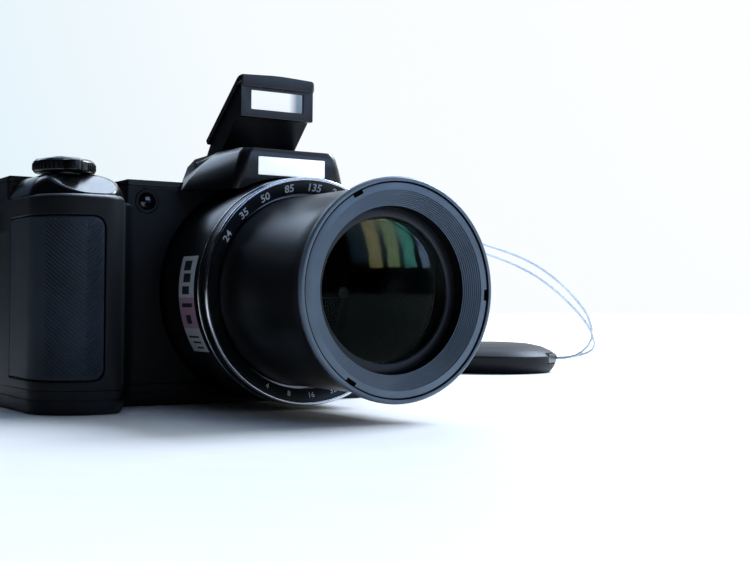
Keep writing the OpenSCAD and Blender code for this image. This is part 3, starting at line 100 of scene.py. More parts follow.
# Faces turned outwards, after loose points are joined where a gap is given
def closeUp(piece, gap=0):
    focusOn(piece)
    bpy.ops.object.mode_set(mode="EDIT")
    bpy.ops.mesh.select_all(action="SELECT")
    if gap:
        bpy.ops.mesh.remove_doubles(threshold=gap)
    bpy.ops.mesh.normals_make_consistent(inside=False)
    bpy.ops.object.mode_set(mode="OBJECT")
    return piece


# Marks the sharp edges outside a box of mm for rounding
def weighEdges(piece, limit, sharpBox):
    shell = bmesh.new()
    shell.from_mesh(piece.data)
    weight = shell.edges.layers.float.new("bevel_weight_edge")
    for edge in shell.edges:
        middle = (edge.verts[0].co + edge.verts[1].co) / 2 / mm
        kept = all(low < c < high for c, (low, high) in zip(middle, sharpBox))
        edge[weight] = 1.0 if not kept and edge.calc_face_angle(0) > math.radians(limit) else 0.0
    shell.to_mesh(piece.data)
    shell.free()


# Rounded moulding edges, then smooth shading up to an angle
def soften(piece, width, segments=2, limit=32, smooth=35, sharpBox=None):
    if width:
        if sharpBox:
            weighEdges(piece, limit, sharpBox)
        applyModifier(piece, "BEVEL", {
            "width": width * mm, "segments": segments, "limit_method": "WEIGHT" if sharpBox else "ANGLE",
            "angle_limit": math.radians(limit), "use_clamp_overlap": False, "loop_slide": False})
    focusOn(piece)
    bpy.ops.object.shade_smooth_by_angle(angle=math.radians(smooth))
    return piece


# A copy of a CAD node with its loose triangles joined
def nodeCopy(node, name):
    piece = bpy.data.objects.new(name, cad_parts[node].data.copy())
    bpy.context.scene.collection.objects.link(piece)
    focusOn(piece)
    bpy.ops.object.mode_set(mode="EDIT")
    bpy.ops.mesh.select_all(action="SELECT")
    bpy.ops.mesh.customdata_custom_splitnormals_clear()
    bpy.ops.mesh.remove_doubles(threshold=copyGap)
    bpy.ops.object.mode_set(mode="OBJECT")
    return piece


# A profile of radius and depth in mm, spun round the lens axis or an upright axis
def lathe(name, profile, steps=glassSteps, upright=None):
    if upright is None:
        points = [(r * mm, d * mm, lensZ) for r, d in profile]
        centre, axis = (0, 0, lensZ), (0, 1, 0)
    else:
        points = [(upright[0] * mm + r * mm, upright[1] * mm, d * mm) for r, d in profile]
        centre, axis = (upright[0] * mm, upright[1] * mm, 0), (0, 0, 1)
    edges = [(i, i + 1) for i in range(len(points) - 1)]
    if profile[0][0] > 0:
        edges.append((len(points) - 1, 0))
    piece = newPiece(name, points, edges)
    bpy.ops.object.mode_set(mode="EDIT")
    bpy.ops.mesh.select_all(action="SELECT")
    bpy.ops.mesh.spin(steps=steps, angle=2 * math.pi, center=centre, axis=axis)
    bpy.ops.object.mode_set(mode="OBJECT")
    return closeUp(piece, weldGap)


# A block at its size and place, with bevelled edges
def smallBar(name, centre, size, bevel):
    bpy.ops.object.select_all(action="DESELECT")
    bpy.ops.mesh.primitive_cube_add(size=1, location=inMetres(centre), scale=inMetres(size))
    piece = bpy.context.object
    piece.name = name
    bpy.ops.object.transform_apply(location=True, rotation=True, scale=True)
    bpy.ops.object.mode_set(mode="EDIT")
    bpy.ops.mesh.select_all(action="SELECT")
    bpy.ops.mesh.bevel(offset=bevel * mm, segments=2, affect="EDGES")
    bpy.ops.object.mode_set(mode="OBJECT")
    return piece


def joinAll(pieces, name):
    bpy.ops.object.select_all(action="DESELECT")
    for piece in pieces:
        piece.select_set(True)
    bpy.context.view_layer.objects.active = pieces[0]
    if len(pieces) > 1:
        bpy.ops.object.join()
    pieces[0].name = name
    return pieces[0]


def dress(piece, body, slot, material, *nodes):
    piece.data.materials.clear()
    piece.data.materials.append(material)
    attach(piece, body)
    if nodes:
        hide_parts(*nodes)
    return piece


# Materials

mottle = 14  # mm between the broad changes of tone


# Grain in mm gives the noise its size, rough its lowest and highest roughness, relief its bump in mm
def grained(name, light, dark, rough, grain, relief, settings):
    material = bpy.data.materials.new(name)
    material.use_nodes = True
    tree = material.node_tree
    shader = tree.nodes["Principled BSDF"]
    for key, value in settings.items():
        shader.inputs[key].default_value = value
    place = addNode(tree, "ShaderNodeTexCoord", {}, {})
    fine = addNode(tree, "ShaderNodeTexNoise", {"Scale": 1 / (grain * mm), "Detail": 3.0, "Roughness": 0.6},
                   {"Vector": (place, "Object")})
    broad = addNode(tree, "ShaderNodeTexNoise", {"Scale": 1 / (mottle * mm), "Detail": 2.0},
                    {"Vector": (place, "Object")})
    colour = addNode(tree, "ShaderNodeValToRGB", {}, {"Fac": (broad, "Fac")})
    for mark, spot, tint in zip(colour.color_ramp.elements, (0.3, 0.7), (dark, light)):
        mark.position, mark.color = spot, toLinear(tint)
    spread = addNode(tree, "ShaderNodeMapRange",
                     {"From Min": 0.3, "From Max": 0.7, "To Min": rough[0], "To Max": rough[1]},
                     {"Value": (fine, "Fac")})
    tree.links.new(colour.outputs["Color"], shader.inputs["Base Color"])
    tree.links.new(spread.outputs["Result"], shader.inputs["Roughness"])
    if relief:
        bump = addNode(tree, "ShaderNodeBump", {"Strength": 0.6, "Distance": relief * mm},
                       {"Height": (fine, "Fac")})
        tree.links.new(bump.outputs["Normal"], shader.inputs["Normal"])
    return material


# Spark-eroded ABS: a fine dull grain that breaks up highlights
sparkAbs = grained("abs spark eroded black", "#0d1116", "#090c11", (0.42, 0.56), 0.5, 0.012,
                   {"IOR": 1.53, "Specular IOR Level": 0.24})
# Turned satin ABS of the barrel: soft, wide highlight and no visible grain
satinAbs = grained("abs satin black", "#0a0c10", "#07080b", (0.3, 0.34), 0.3, 0.0006,
                   {"IOR": 1.53, "Specular IOR Level": 0.5})
# Polished ABS: near-mirror black with faint waves from moulding
pianoAbs = grained("abs polished black", "#08080a", "#050506", (0.06, 0.12), 5, 0.002,
                   {"IOR": 1.53, "Coat Weight": 0.5, "Coat Roughness": 0.05})
# Moulded ABS of the deck: gloss dulled by handling, so its highlights are broad
dulledAbs = grained("abs moulded semi gloss", "#0a0b0e", "#060709", (0.2, 0.27), 3.0, 0.002,
                    {"IOR": 1.53, "Coat Weight": 0.2, "Coat Roughness": 0.15})
# Moulded rubber: dull, slightly greyed where fingers rub
gripRubber = grained("nitrile rubber moulded", "#2b3541", "#212932", (0.46, 0.58), 0.25, 0.006,
                     {"IOR": 1.5, "Specular IOR Level": 0.3})
# Black anodised aluminium: a satin metal grey with a cool cast
anodised = grained("aluminium black anodised", "#20252b", "#181c21", (0.34, 0.42), 0.25, 0.003,
                   {"Metallic": 0.3, "Specular IOR Level": 0.5})
# Grey anodised aluminium of the front ring: paler, with fine turned steps
greyAnodised = grained("aluminium grey anodised", "#667482", "#5b6875", (0.36, 0.44), 0.25, 0.003,
                       {"Metallic": 0.3, "Specular IOR Level": 0.5})
# Chromium plate: clean bright bands of reflection
chromePlate = grained("chromium plated brass", "#dfe2e6", "#c3c7cd", (0.1, 0.18), 1.5, 0.0,
                      {"Metallic": 1.0})
# Nickel-plated steel of screws, eyelets and sockets: bright, with a slight grain
nickelSteel = grained("steel nickel plated", "#b9bbbd", "#8f9194", (0.25, 0.4), 0.4, 0.004,
                      {"Metallic": 1.0})
# Turned brass: warm, with broken highlights
turnedBrass = grained("brass turned", "#c49a55", "#9c773a", (0.25, 0.38), 0.3, 0.004, {"Metallic": 1.0})
# Bare die-cast and drawn aluminium of the inner parts: pale and dull
plainAluminium = grained("aluminium die cast", "#b4b7ba", "#94979b", (0.35, 0.5), 0.6, 0.01,
                         {"Metallic": 1.0})
# Acetal gears: milky and slightly waxy
acetal = grained("acetal moulded", "#d9d3c2", "#c4bda9", (0.35, 0.45), 0.8, 0.004,
                 {"IOR": 1.48, "Subsurface Weight": 0.1, "Subsurface Radius": (0.001, 0.001, 0.001)})
# Solder mask over woven glass: green with a soft gloss
circuitBoard = grained("epoxy glass board", "#1d5a34", "#134526", (0.25, 0.4), 0.6, 0.006, {"IOR": 1.55})
# Shrunk sleeve on cells and capacitor: tight, with a soft gloss
cellSleeve = grained("pvc sleeve", "#3c3e48", "#2c2e36", (0.25, 0.35), 2.0, 0.004, {"IOR": 1.54})
# Blackened inside of the lens, which swallows light
lensBlack = grained("abs matt blackened", "#0a0a0b", "#060607", (0.6, 0.75), 0.4, 0.008,
                    {"IOR": 1.5, "Specular IOR Level": 0.1})
# Red key moulding: deep colour under a clear gloss
redKey = grained("abs polished red", "#7d1218", "#640d12", (0.15, 0.22), 2.0, 0.002, {"IOR": 1.53})
# Acrylic window over the display: deep and glassy
screenAcrylic = grained("acrylic smoked", "#0b0d10", "#08090b", (0.04, 0.08), 8, 0.0,
                        {"IOR": 1.49, "Coat Weight": 0.3, "Coat Roughness": 0.02})
# Clear polycarbonate over a silvered reflector, with a painted glow: emission stands in for the light the
# reflector throws back, so it shows white
flashLens = grained("polycarbonate prismatic, painted glow", "#8d979f", "#838d95", (0.12, 0.22), 0.8, 0.03,
                    {"IOR": 1.58, "Emission Strength": 0.8})
flashTree = flashLens.node_tree
flashPlace = addNode(flashTree, "ShaderNodeTexCoord", {}, {})
flashSplit = addNode(flashTree, "ShaderNodeSeparateXYZ", {}, {"Vector": (flashPlace, "Object")})
flashBand = addNode(flashTree, "ShaderNodeMapRange", {"From Min": -8.5 * mm, "From Max": 8.5 * mm},
                    {"Value": (flashSplit, "X")})  # across the window
# painted glow: white over most of the window, greying to dark grey towards its +x end
flashPaintedGlow = addNode(flashTree, "ShaderNodeValToRGB", {}, {"Fac": (flashBand, "Result")})
for mark, spot, tint in zip(flashPaintedGlow.color_ramp.elements, (0.72, 0.88), ("#fafdff", "#46535e")):
    mark.position, mark.color = spot, toLinear(tint)
flashTree.links.new(flashPaintedGlow.outputs["Color"], flashTree.nodes["Principled BSDF"].inputs["Emission Color"])
# Vacuum-silvered reflector: a bright mirror
silvered = grained("aluminium vacuum silvered", "#e6e8ea", "#d5d8da", (0.06, 0.12), 1.5, 0.0,
                   {"Metallic": 1.0})
# Screen-printed ink of the numerals: flat and pale
printInk = grained("epoxy ink pale grey", "#dfe5ec", "#d2d9e1", (0.5, 0.6), 0.3, 0.0, {"IOR": 1.5})
# Dark ink of the label's bars: flat
darkInk = grained("epoxy ink dark grey", "#23282e", "#1b1f24", (0.5, 0.6), 0.3, 0.0, {"IOR": 1.5})
# Bare satin plate with a painted glow: emission makes it show white, as if it caught the backlight
glowPaintedPlate = grained("aluminium satin plate, painted glow", "#f4f7fa", "#e6ebf0", (0.3, 0.4), 0.3, 0.002,
                     {"Metallic": 0.2, "Emission Color": toLinear("#eef6ff"), "Emission Strength": 0.75})
# Braided polyester of the tether: pale, with a soft sheen
braid = grained("polyester braided", "#c9d3dc", "#aab8c6", (0.55, 0.7), 0.35, 0.03,
                {"IOR": 1.5, "Sheen Weight": 0.2})

# Coated crown glass: nearly clear, and its coating leaves only faint, cool reflections
coatedGlass = bpy.data.materials.new("crown glass coated")
coatedGlass.use_nodes = True
glassTree = coatedGlass.node_tree
glassShader = glassTree.nodes["Principled BSDF"]
for key, value in {"Base Color": toLinear("#eef6f3"), "Transmission Weight": 1.0, "IOR": 1.15,
                   "Specular Tint": toLinear("#cfeee6")}.items():
    glassShader.inputs[key].default_value = value
glassPlace = addNode(glassTree, "ShaderNodeTexCoord", {}, {})
glassDust = addNode(glassTree, "ShaderNodeTexNoise", {"Scale": 1 / (3 * mm), "Detail": 4.0},
                    {"Vector": (glassPlace, "Object")})
glassHaze = addNode(glassTree, "ShaderNodeMapRange",
                    {"From Min": 0.55, "From Max": 0.9, "To Min": 0.0, "To Max": 0.015},
                    {"Value": (glassDust, "Fac")})
glassTree.links.new(glassHaze.outputs["Result"], glassShader.inputs["Roughness"])  # faint dust haze

# Coated paper label: white with a pink field, and a slight gloss
labelPaper = bpy.data.materials.new("paper label coated")
labelPaper.use_nodes = True
labelTree = labelPaper.node_tree
labelShader = labelTree.nodes["Principled BSDF"]
labelShader.inputs["Roughness"].default_value = 0.45
labelPlace = addNode(labelTree, "ShaderNodeTexCoord", {}, {})
labelSplit = addNode(labelTree, "ShaderNodeSeparateXYZ", {}, {"Vector": (labelPlace, "Object")})
labelBand = addNode(labelTree, "ShaderNodeMapRange", {"From Min": 18 * mm, "From Max": 42 * mm},
                    {"Value": (labelSplit, "Z")})  # from its foot to its top
labelColour = addNode(labelTree, "ShaderNodeValToRGB", {}, {"Fac": (labelBand, "Result")})
labelColour.color_ramp.interpolation = "CONSTANT"
for mark, spot, tint in zip(labelColour.color_ramp.elements, (0.0, 0.16), ("#d5d8da", "#c79db4")):
    mark.position, mark.color = spot, toLinear(tint)
labelColour.color_ramp.elements.new(0.5).color = toLinear("#d9dcdd")
labelTree.links.new(labelColour.outputs["Color"], labelShader.inputs["Base Color"])
print("materials ready")


# Camera where the photograph was taken from

cameraPlace = {"eye": (-0.16384, -0.35054, 0.0283), "forward": (0.52789, 0.84909, 0.01955),
               "roll": 0.46, "lens": 59.9, "sensor": 36}
forward = Vector(cameraPlace["forward"]).normalized()
levelRight = forward.cross(Vector((0, 0, 1))).normalized()
levelUp = levelRight.cross(forward)
roll = math.radians(cameraPlace["roll"])
rightWay = levelRight * math.cos(roll) + levelUp * math.sin(roll)
upWay = rightWay.cross(forward)
cameraData = bpy.data.cameras.new("studioCamera")
cameraData.lens = cameraPlace["lens"]
cameraData.sensor_width = cameraPlace["sensor"]
cameraData.sensor_fit = "HORIZONTAL"
cameraData.clip_start = 0.01
camera = bpy.data.objects.new("studioCamera", cameraData)
bpy.context.scene.collection.objects.link(camera)
cameraTurn = Matrix((rightWay, upWay, -forward)).transposed().to_4x4()
camera.matrix_world = Matrix.Translation(cameraPlace["eye"]) @ cameraTurn
bpy.context.scene.camera = camera


# Tether: from the sleeve at the eyelet, through both holes of the cap and back

tether = {
    "thick": 1.0, "stride": 7,
    "spots": [
        (52.4, -4, 51.7), (60, -3, 52), (80, 5, 53), (100, 14, 52.5), (121, 24, 50.5), (137, 28, 47.4),
        (151, 30.5, 42.7), (169, 37, 35), (186, 44, 24.5), (193.5, 50, 15), (194, 57, 9), (193.3, 64, 6.6),
        (192.6, 70.1, 6), (186.6, 73.7, 6), (185.8, 76.9, 6), (189.1, 77.7, 6), (195.1, 74.1, 6),
        (198, 68, 6.6), (198, 58, 8.6), (196, 51, 12.5), (187, 46, 21.5), (169, 39.5, 32), (150, 33, 40),
        (135, 30, 44.8), (120, 25.5, 47.8), (100, 16, 49.6), (80, 6.5, 50), (60, -3, 49.6),
        (52.4, -4, 50.3)]}


# The smooth curve through the spots that the CAD cord follows
def smoothWay(spots):
    line = []
    last = len(spots) - 1
    for i in range(last):
        a, b, c, d = (Vector(spots[k]) for k in (max(i - 1, 0), i, i + 1, min(i + 2, last)))
        count = max(2, math.ceil((c - b).length / tether["stride"]))
        for k in range(count):
            t = k / count
            line.append(0.5 * (2 * b + (c - a) * t + (2 * a - 5 * b + 4 * c - d) * t * t
                               + (3 * b - a - 3 * c + d) * t * t * t))
    return [p * mm for p in line + [Vector(spots[last])]]


tetherWay = smoothWay(tether["spots"])
tetherCurve = bpy.data.curves.new("tetherCord", "CURVE")
tetherCurve.dimensions = "3D"
tetherCurve.bevel_depth = tether["thick"] / 2 * mm
tetherCurve.bevel_resolution = 2
tetherCurve.use_fill_caps = True
strand = tetherCurve.splines.new("POLY")
strand.points.add(len(tetherWay) - 1)
for point, spot in zip(strand.points, tetherWay):
    point.co = (*spot, 1)
tetherCord = bpy.data.objects.new("tetherCord", tetherCurve)
bpy.context.scene.collection.objects.link(tetherCord)
dress(tetherCord, "camera_body", "cord", braid, "tether_cord")


# Grip skin: ribbed rubber wrapped round the grip's outer corner

gripSkin = {
    "left": -71.0, "front": -45.4, "back": -17.4, "low": 8.5, "high": 50.5, "wide": 16.4, "overlap": 0.01,
    "corner": 13.0, "innerCorner": 7.0, "innerStart": -54.75, "edgeRound": 3.0, "gap": 0.25, "thick": 0.85,
    "pitch": 0.86, "slope": 38, "rib": 0.42, "step": 0.25, "chevron": 4.6, "ribFrom": 22.8, "ribFade": 0.5,
    "rim": 1.2, "plainRim": 0.5, "rimFade": 0.6, "rimDrop": 0.3, "sunk": 0.05}


# Length of the skin's straight side, and of its arc round the outer corner
def gripRuns():
    g = gripSkin
    return abs(g["front"] + g["corner"] - g["back"]), g["corner"] * math.pi / 2


# A point on the grip's outline at distance s from the skin's back edge, with its outward direction
def gripOutline(s):
    g = gripSkin
    side, arc = gripRuns()
    flat = g["innerStart"] - (g["left"] + g["corner"])
    if s < side:
        return (g["left"], g["back"] - s), (-1, 0)
    s -= side
    if s < arc:
        a = math.pi + s / g["corner"]
        way = (math.cos(a), math.sin(a))
        return (g["left"] + g["corner"] * (1 + way[0]), g["front"] + g["corner"] * (1 + way[1])), way
    s -= arc
    if s < flat:
        return (g["left"] + g["corner"] + s, g["front"]), (0, -1)
    a = 1.5 * math.pi + (s - flat) / g["innerCorner"]
    way = (math.cos(a), math.sin(a))
    return (g["innerStart"] + g["innerCorner"] * way[0], g["front"] + g["innerCorner"] * (1 + way[1])), way


def makeGripSkin():
    g = gripSkin
    length = sum(gripRuns()) + g["wide"] - g["corner"] + g["overlap"] - g["gap"]
    tall = g["high"] - g["low"] - 2 * g["gap"]
    across, up = round(length / g["step"]), round(tall / g["step"])
    bpy.ops.object.select_all(action="DESELECT")
    bpy.ops.mesh.primitive_grid_add(x_subdivisions=across, y_subdivisions=up, size=1)
    piece = bpy.context.object
    piece.name = "gripSkin"
    slope = math.radians(g["slope"])
    bend = length - g["chevron"]
    for vertex in piece.data.vertices:
        u, v = vertex.co.x + 0.5, vertex.co.y + 0.5
        z = v * tall
        near = min(z, tall - z)
        cut = 0
        if near < g["edgeRound"]:
            cut = g["edgeRound"] - math.sqrt(max(0, g["edgeRound"] ** 2 - (g["edgeRound"] - near) ** 2))
        s = u * (length - cut)
        border = min(near, (1 - u) * length, g["rim"])
        fade = fadeIn(border, g["plainRim"], g["rimFade"]) * fadeIn(s, g["ribFrom"], g["ribFade"])
        run = s if s < bend else 2 * bend - s  # the ribs turn back near the inner edge
        phase = (run * math.sin(slope) + z * math.cos(slope)) / g["pitch"]
        wave = 0.5 * math.cos(2 * math.pi * phase)
        lift = fade * g["rib"] * wave - g["rimDrop"] * max(0, 1 - border / g["plainRim"]) ** 2 - g["sunk"]
        (x, y), way = gripOutline(s)
        vertex.co = inMetres((x + way[0] * lift, y + way[1] * lift, g["low"] + g["gap"] + z))
    closeUp(piece)
    if piece.data.polygons[0].normal.x > 0:
        piece.data.flip_normals()
    applyModifier(piece, "SOLIDIFY", {"thickness": g["thick"] * mm, "offset": -1.0})
    soften(piece, 0, smooth=60)
    return dress(piece, "camera_body", "grip_rubber", gripRubber, "grip_pad")


makeGripSkin()
print("grip skin ready")


# Casing: the CAD shells with moulded edges

casing = [
    ("front_cover", "frontShell", 0.35, sparkAbs, "shell_plastic", "camera_body"),
    ("rear_cover", "rearShell", 0.35, sparkAbs, "shell_plastic", "camera_body"),
    ("top_cover", "topShell", 0, satinAbs, "shell_plastic", "camera_body"),
    ("bottom_cover", "baseShell", 0, sparkAbs, "shell_plastic", "camera_body"),
    ("battery_door", "batteryDoor", 0.2, sparkAbs, "shell_plastic", "door"),
    ("connector_door", "connectorFlap", 0.2, gripRubber, "grip_rubber", "flap"),
    ("flash_cover", "flashLid", 0.4, satinAbs, "shell_plastic", "flash"),
    ("flash_housing", "flashBox", 0.25, satinAbs, "shell_plastic", "flash"),
    ("zoom_lever", "zoomLever", 0.2, dulledAbs, "gloss_plastic", "lever"),
    ("shutter_button", "shutterKey", 0.2, pianoAbs, "gloss_plastic", "shutter"),
    ("power_button", "powerKey", 0.2, pianoAbs, "gloss_plastic", "power_key"),
    ("record_button", "recordKey", 0.2, redKey, "red_key", "record_key"),
    ("playback_button", "playbackKey", 0.2, pianoAbs, "gloss_plastic", "playback_key"),
    ("scene_button", "sceneKey", 0.2, pianoAbs, "gloss_plastic", "scene_key"),
    ("menu_button", "menuKey", 0.2, pianoAbs, "gloss_plastic", "menu_key"),
    ("delete_button", "deleteKey", 0.2, pianoAbs, "gloss_plastic", "delete_key"),
    ("selector_pad", "selectorDisc", 0.25, pianoAbs, "gloss_plastic", "selector"),
    ("ok_button", "centreKey", 0.25, pianoAbs, "gloss_plastic", "ok_key"),
    ("lens_cap", "capShell", 0.25, sparkAbs, "shell_plastic", "camera_body"),
    ("cap_tab_left", "capTabLeft", 0.3, satinAbs, "shell_plastic", "tab_left"),
    ("cap_tab_right", "capTabRight", 0.3, satinAbs, "shell_plastic", "tab_right"),
    ("strap_lugs", "strapEyelets", 0.2, nickelSteel, "steel", "camera_body"),
    ("case_screws", "caseScrews", 0.06, nickelSteel, "steel", "camera_body"),
    ("lcd_window", "screenWindow", 0.2, screenAcrylic, "clear_plastic", "camera_body"),
    ("flash_window", "flashWindow", 0.15, flashLens, "flash_plastic", "flash")]
# Level edges that are rolled over: the front shell's under the deck, and the top plate's rim but not
# its key hole
rolls = {"front_cover": {"level": 56.0, "roll": 1.25, "steps": 5, "middle": (-58, -28), "reach": 19,
                         "spare": (0, 0)},
         "top_cover": {"level": 62.6, "roll": 0.4, "steps": 3, "middle": (-10, 0), "reach": 200,
                       "spare": (-58, -2)}}
spareRoom = 6  # mm round the spared hole
levelSlack = 0.02  # mm that a level edge may be off
# The front shell's inner ledge under the top plate is thinner than a rounded edge
sharpBoxes = {"front_cover": ((-46, -30), (-30, -10), (50, 60))}
smoothAngles = {"top_cover": 55}


def rollEdge(piece, level, roll, steps, middle, reach, spare):
    focusOn(piece)
    bpy.ops.object.mode_set(mode="EDIT")
    bpy.ops.mesh.select_mode(type="EDGE")
    bpy.ops.mesh.select_all(action="DESELECT")
    shell = bmesh.from_edit_mesh(piece.data)
    for edge in shell.edges:
        spot = (edge.verts[0].co + edge.verts[1].co) / 2
        away = spot - Vector((*middle, level)) * mm
        fromHole = spot - Vector((*spare, level)) * mm
        flat = all(abs(vertex.co.z - level * mm) < levelSlack * mm for vertex in edge.verts)
        outside = any(abs(face.normal.z) < 0.1 and face.normal.dot(away) > 0 for face in edge.link_faces)
        edge.select = flat and outside and away.length < reach * mm and fromHole.length > spareRoom * mm
    bmesh.update_edit_mesh(piece.data)
    bpy.ops.mesh.bevel(offset=roll * mm, segments=steps, affect="EDGES")
    bpy.ops.object.mode_set(mode="OBJECT")


for node, name, width, material, slot, body in casing:
    shell = nodeCopy(node, name)
    if node in rolls:
        rollEdge(shell, **rolls[node])
    soften(shell, width, smooth=smoothAngles.get(node, 35), sharpBox=sharpBoxes.get(node))
    applyModifier(shell, "WEIGHTED_NORMAL", {"weight": 80, "keep_sharp": True})  # flat faces shade flat
    dress(shell, body, slot, material, node)
print("casing ready")


# Control deck: one smooth polished mound

deck = {
    "line": [(-71.0, -8.0, 1.0), (-71.0, -45.4, 13.0), (-50.0, -45.4, 7.0), (-41.55, -24.05, 1.0),
             (-41.55, -8.0, 1.0)],  # corners with their radius
    "seam": 56.0, "seamLift": 0.05, "tall": 6.0, "levels": 16, "cornerPoints": 14, "topRings": 12,
    "ledge": 0.3, "inset": 6.8, "lip": 1.0, "lipReach": 12, "lipFade": 7,
    "root": -41.5, "rootLift": 0.4, "flank": 27.5, "front": -45.4, "slope": 33, "blend": 1.0,
    "back": -14.05}


# Corner arcs of a closed outline, with points on the straight runs between them too
def roundedLine(line, count):
    arcs = []
    for i, (px, py, radius) in enumerate(line):
        p = Vector((px, py))
        u = (Vector(line[i - 1][:2]) - p).normalized()
        v = (Vector(line[(i + 1) % len(line)][:2]) - p).normalized()
        half = u.angle(v) / 2
        centre = p + (u + v).normalized() * radius / math.sin(half)
        start, end = p + u * radius / math.tan(half) - centre, p + v * radius / math.tan(half) - centre
        a0 = math.atan2(start.y, start.x)
        turn = (math.atan2(end.y, end.x) - a0 + math.pi) % (2 * math.pi) - math.pi
        angles = [a0 + turn * k / count for k in range(count + 1)]
        arcs.append([centre + radius * Vector((math.cos(a), math.sin(a))) for a in angles])
    points = []
    for arc, after in zip(arcs, arcs[1:] + arcs[:1]):
        points += arc + [arc[-1].lerp(after[0], k / count) for k in range(1, count)]
    return points


def insetLine(line, depth):
    moved = []
    for i, (px, py, radius) in enumerate(line):
        p = Vector((px, py))
        d1 = (p - Vector(line[i - 1][:2])).normalized()
        d2 = (Vector(line[(i + 1) % len(line)][:2]) - p).normalized()
        n1, n2 = Vector((-d1.y, d1.x)), Vector((-d2.y, d2.x))
        q = p + (n1 + n2) * depth / (1 + n1.dot(n2))
        grow = -depth if d1.x * d2.y - d1.y * d2.x > 0 else depth
        moved.append((q.x, q.y, max(radius + grow, 0.3)))
    return moved


def makeDeck():
    points, faces, rings = [], [], []
    for k in range(deck["levels"] + 1):
        t = k / deck["levels"]
        depth = deck["ledge"] + (deck["inset"] - deck["ledge"]) * (0.25 * t + 0.75 * t * t)
        z = deck["seam"] + deck["tall"] * math.sin(t * math.pi / 2)
        outer = roundedLine(insetLine(deck["line"], depth), deck["cornerPoints"])
        inner = roundedLine(insetLine(deck["line"], depth + deck["lip"] * (1 - t)), deck["cornerPoints"])
        ring = []
        for p, q in zip(outer, inner):
            share = fadeIn(deck["front"] + deck["lipReach"] - p.y, 0, deck["lipFade"])  # lip on the front only
            spot = p.lerp(q, share * share * (3 - 2 * share))
            ring.append(Vector((spot.x, spot.y, z)))
        rings.append(ring)
    rim = rings[-1]
    wide = len(rim)
    middle = sum(rim, Vector()) / wide
    for k in range(1, deck["topRings"]):
        rings.append([p.lerp(middle, k / deck["topRings"]) for p in rim])
    steep, gentle = math.tan(math.radians(deck["flank"])), math.tan(math.radians(deck["slope"]))
    for ring in rings:
        for p in ring:
            low = p.z
            for roof in ((deck["root"] - p.x) * steep + deck["rootLift"],
                         (p.y - deck["front"] - deck["lip"]) * gentle):
                roof += deck["seam"]
                share = fadeIn(roof - low, -deck["blend"], 2 * deck["blend"])
                low = min(low, roof + (low - roof) * share - deck["blend"] * share * (1 - share))
            foot = deck["seam"] + (deck["seamLift"] if p.z > deck["seam"] else 0)
            points.append(Vector((p.x, p.y, max(foot, low))) * mm)
    for k in range(len(rings) - 1):
        here, above = k * wide, (k + 1) * wide
        faces += [(here + i, here + (i + 1) % wide, above + (i + 1) % wide, above + i) for i in range(wide)]
    faces += [tuple(range((len(rings) - 1) * wide, len(rings) * wide)), tuple(reversed(range(wide)))]
    piece = closeUp(newPiece("deckMound", points, (), faces), weldGap)
    bpy.ops.object.mode_set(mode="EDIT")
    bpy.ops.mesh.select_all(action="SELECT")
    bpy.ops.mesh.bisect(plane_co=(0, deck["back"] * mm, 0), plane_no=(0, 1, 0), use_fill=True,
                        clear_outer=True)
    bpy.ops.object.mode_set(mode="OBJECT")
    soften(piece, 0, smooth=40)
    return dress(piece, "camera_body", "gloss_plastic", dulledAbs, "control_deck")


makeDeck()
print("deck ready")


# Lens outside, as profiles of radius and depth

collarProfile = [(29.3, -19.9), (29.3, -50.8), (29.9, -50.8), (29.9, -52.95), (31, -52.95), (31, -49.4),
                 (30.5, -49.4), (30.5, -48.8), (31, -48.8), (31, -19.9)]
collarShell = soften(lathe("collarShell", collarProfile, ringSteps), 0.12)
dress(collarShell, "camera_body", "gloss_plastic", satinAbs, "lens_collar")
frontProfile = [(30.1, -54), (30.7, -54), (31, -53.7), (31, -53), (30.1, -53)]
secondProfile = [(30.55, -49.35), (31.1, -49.35), (31.1, -48.85), (30.55, -48.85)]
brightRings = joinAll([lathe("frontTrim", frontProfile, ringSteps),
                       lathe("secondTrim", secondProfile, ringSteps)], "brightRings")
dress(soften(brightRings, 0.1), "camera_body", "bright_ring", chromePlate, "trim_rings")
scaleProfile = [(26.6, -52.4), (29.85, -53.7), (29.85, -50.85), (26.6, -50.85)]
scaleRing = soften(lathe("scaleRing", scaleProfile, ringSteps), 0.12)
dress(scaleRing, "camera_body", "black_metal", anodised, "name_ring")

barrel = {"radius": 25.7, "bore": 24.2, "seat": 26.35, "lip": 27.5, "chamfer": (0.4, 0.5), "flare": 9.0,
          "flareSteps": 16, "face": -98.9, "seatFloor": -96.7, "lipBack": -97.6, "end": -36.5}


def makeBarrel():
    b = barrel
    profile = [(b["bore"], b["end"]), (b["bore"], b["seatFloor"]), (b["seat"], b["seatFloor"]),
               (b["seat"], b["face"]), (b["lip"] - b["chamfer"][0], b["face"]),
               (b["lip"], b["face"] + b["chamfer"][1]), (b["lip"], b["lipBack"])]
    for k in range(1, b["flareSteps"] + 1):
        t = k / b["flareSteps"]
        profile.append((b["radius"] + (b["lip"] - b["radius"]) * (1 - t) ** 2, b["lipBack"] + b["flare"] * t))
    profile.append((b["radius"], b["end"]))
    sleeve = soften(lathe("barrelSleeve", profile, ringSteps), 0.12)
    return dress(sleeve, "barrel", "shell_plastic", satinAbs, "lens_barrel")


# Faces picked by radius and depth in mm take a second material
def secondFinish(piece, material, picks):
    piece.data.materials.append(material)
    for face in piece.data.polygons:
        x, y, z = face.center
        if picks(math.hypot(x, z - lensZ) / mm, y / mm):
            face.material_index = 1


bezel = {"outer": 26.0, "rim": 24.2, "opening": 20.6, "face": -98.6, "seat": -96.7, "tail": 24.15,
         "back": -90.0, "steps": 9, "depth": 2.8, "groove": 0.17, "cut": 0.35,
         "notch": (2.9, 2.2, 2.8), "notchAt": (0.55, 0.1), "notchTurns": (2, 122, 242)}


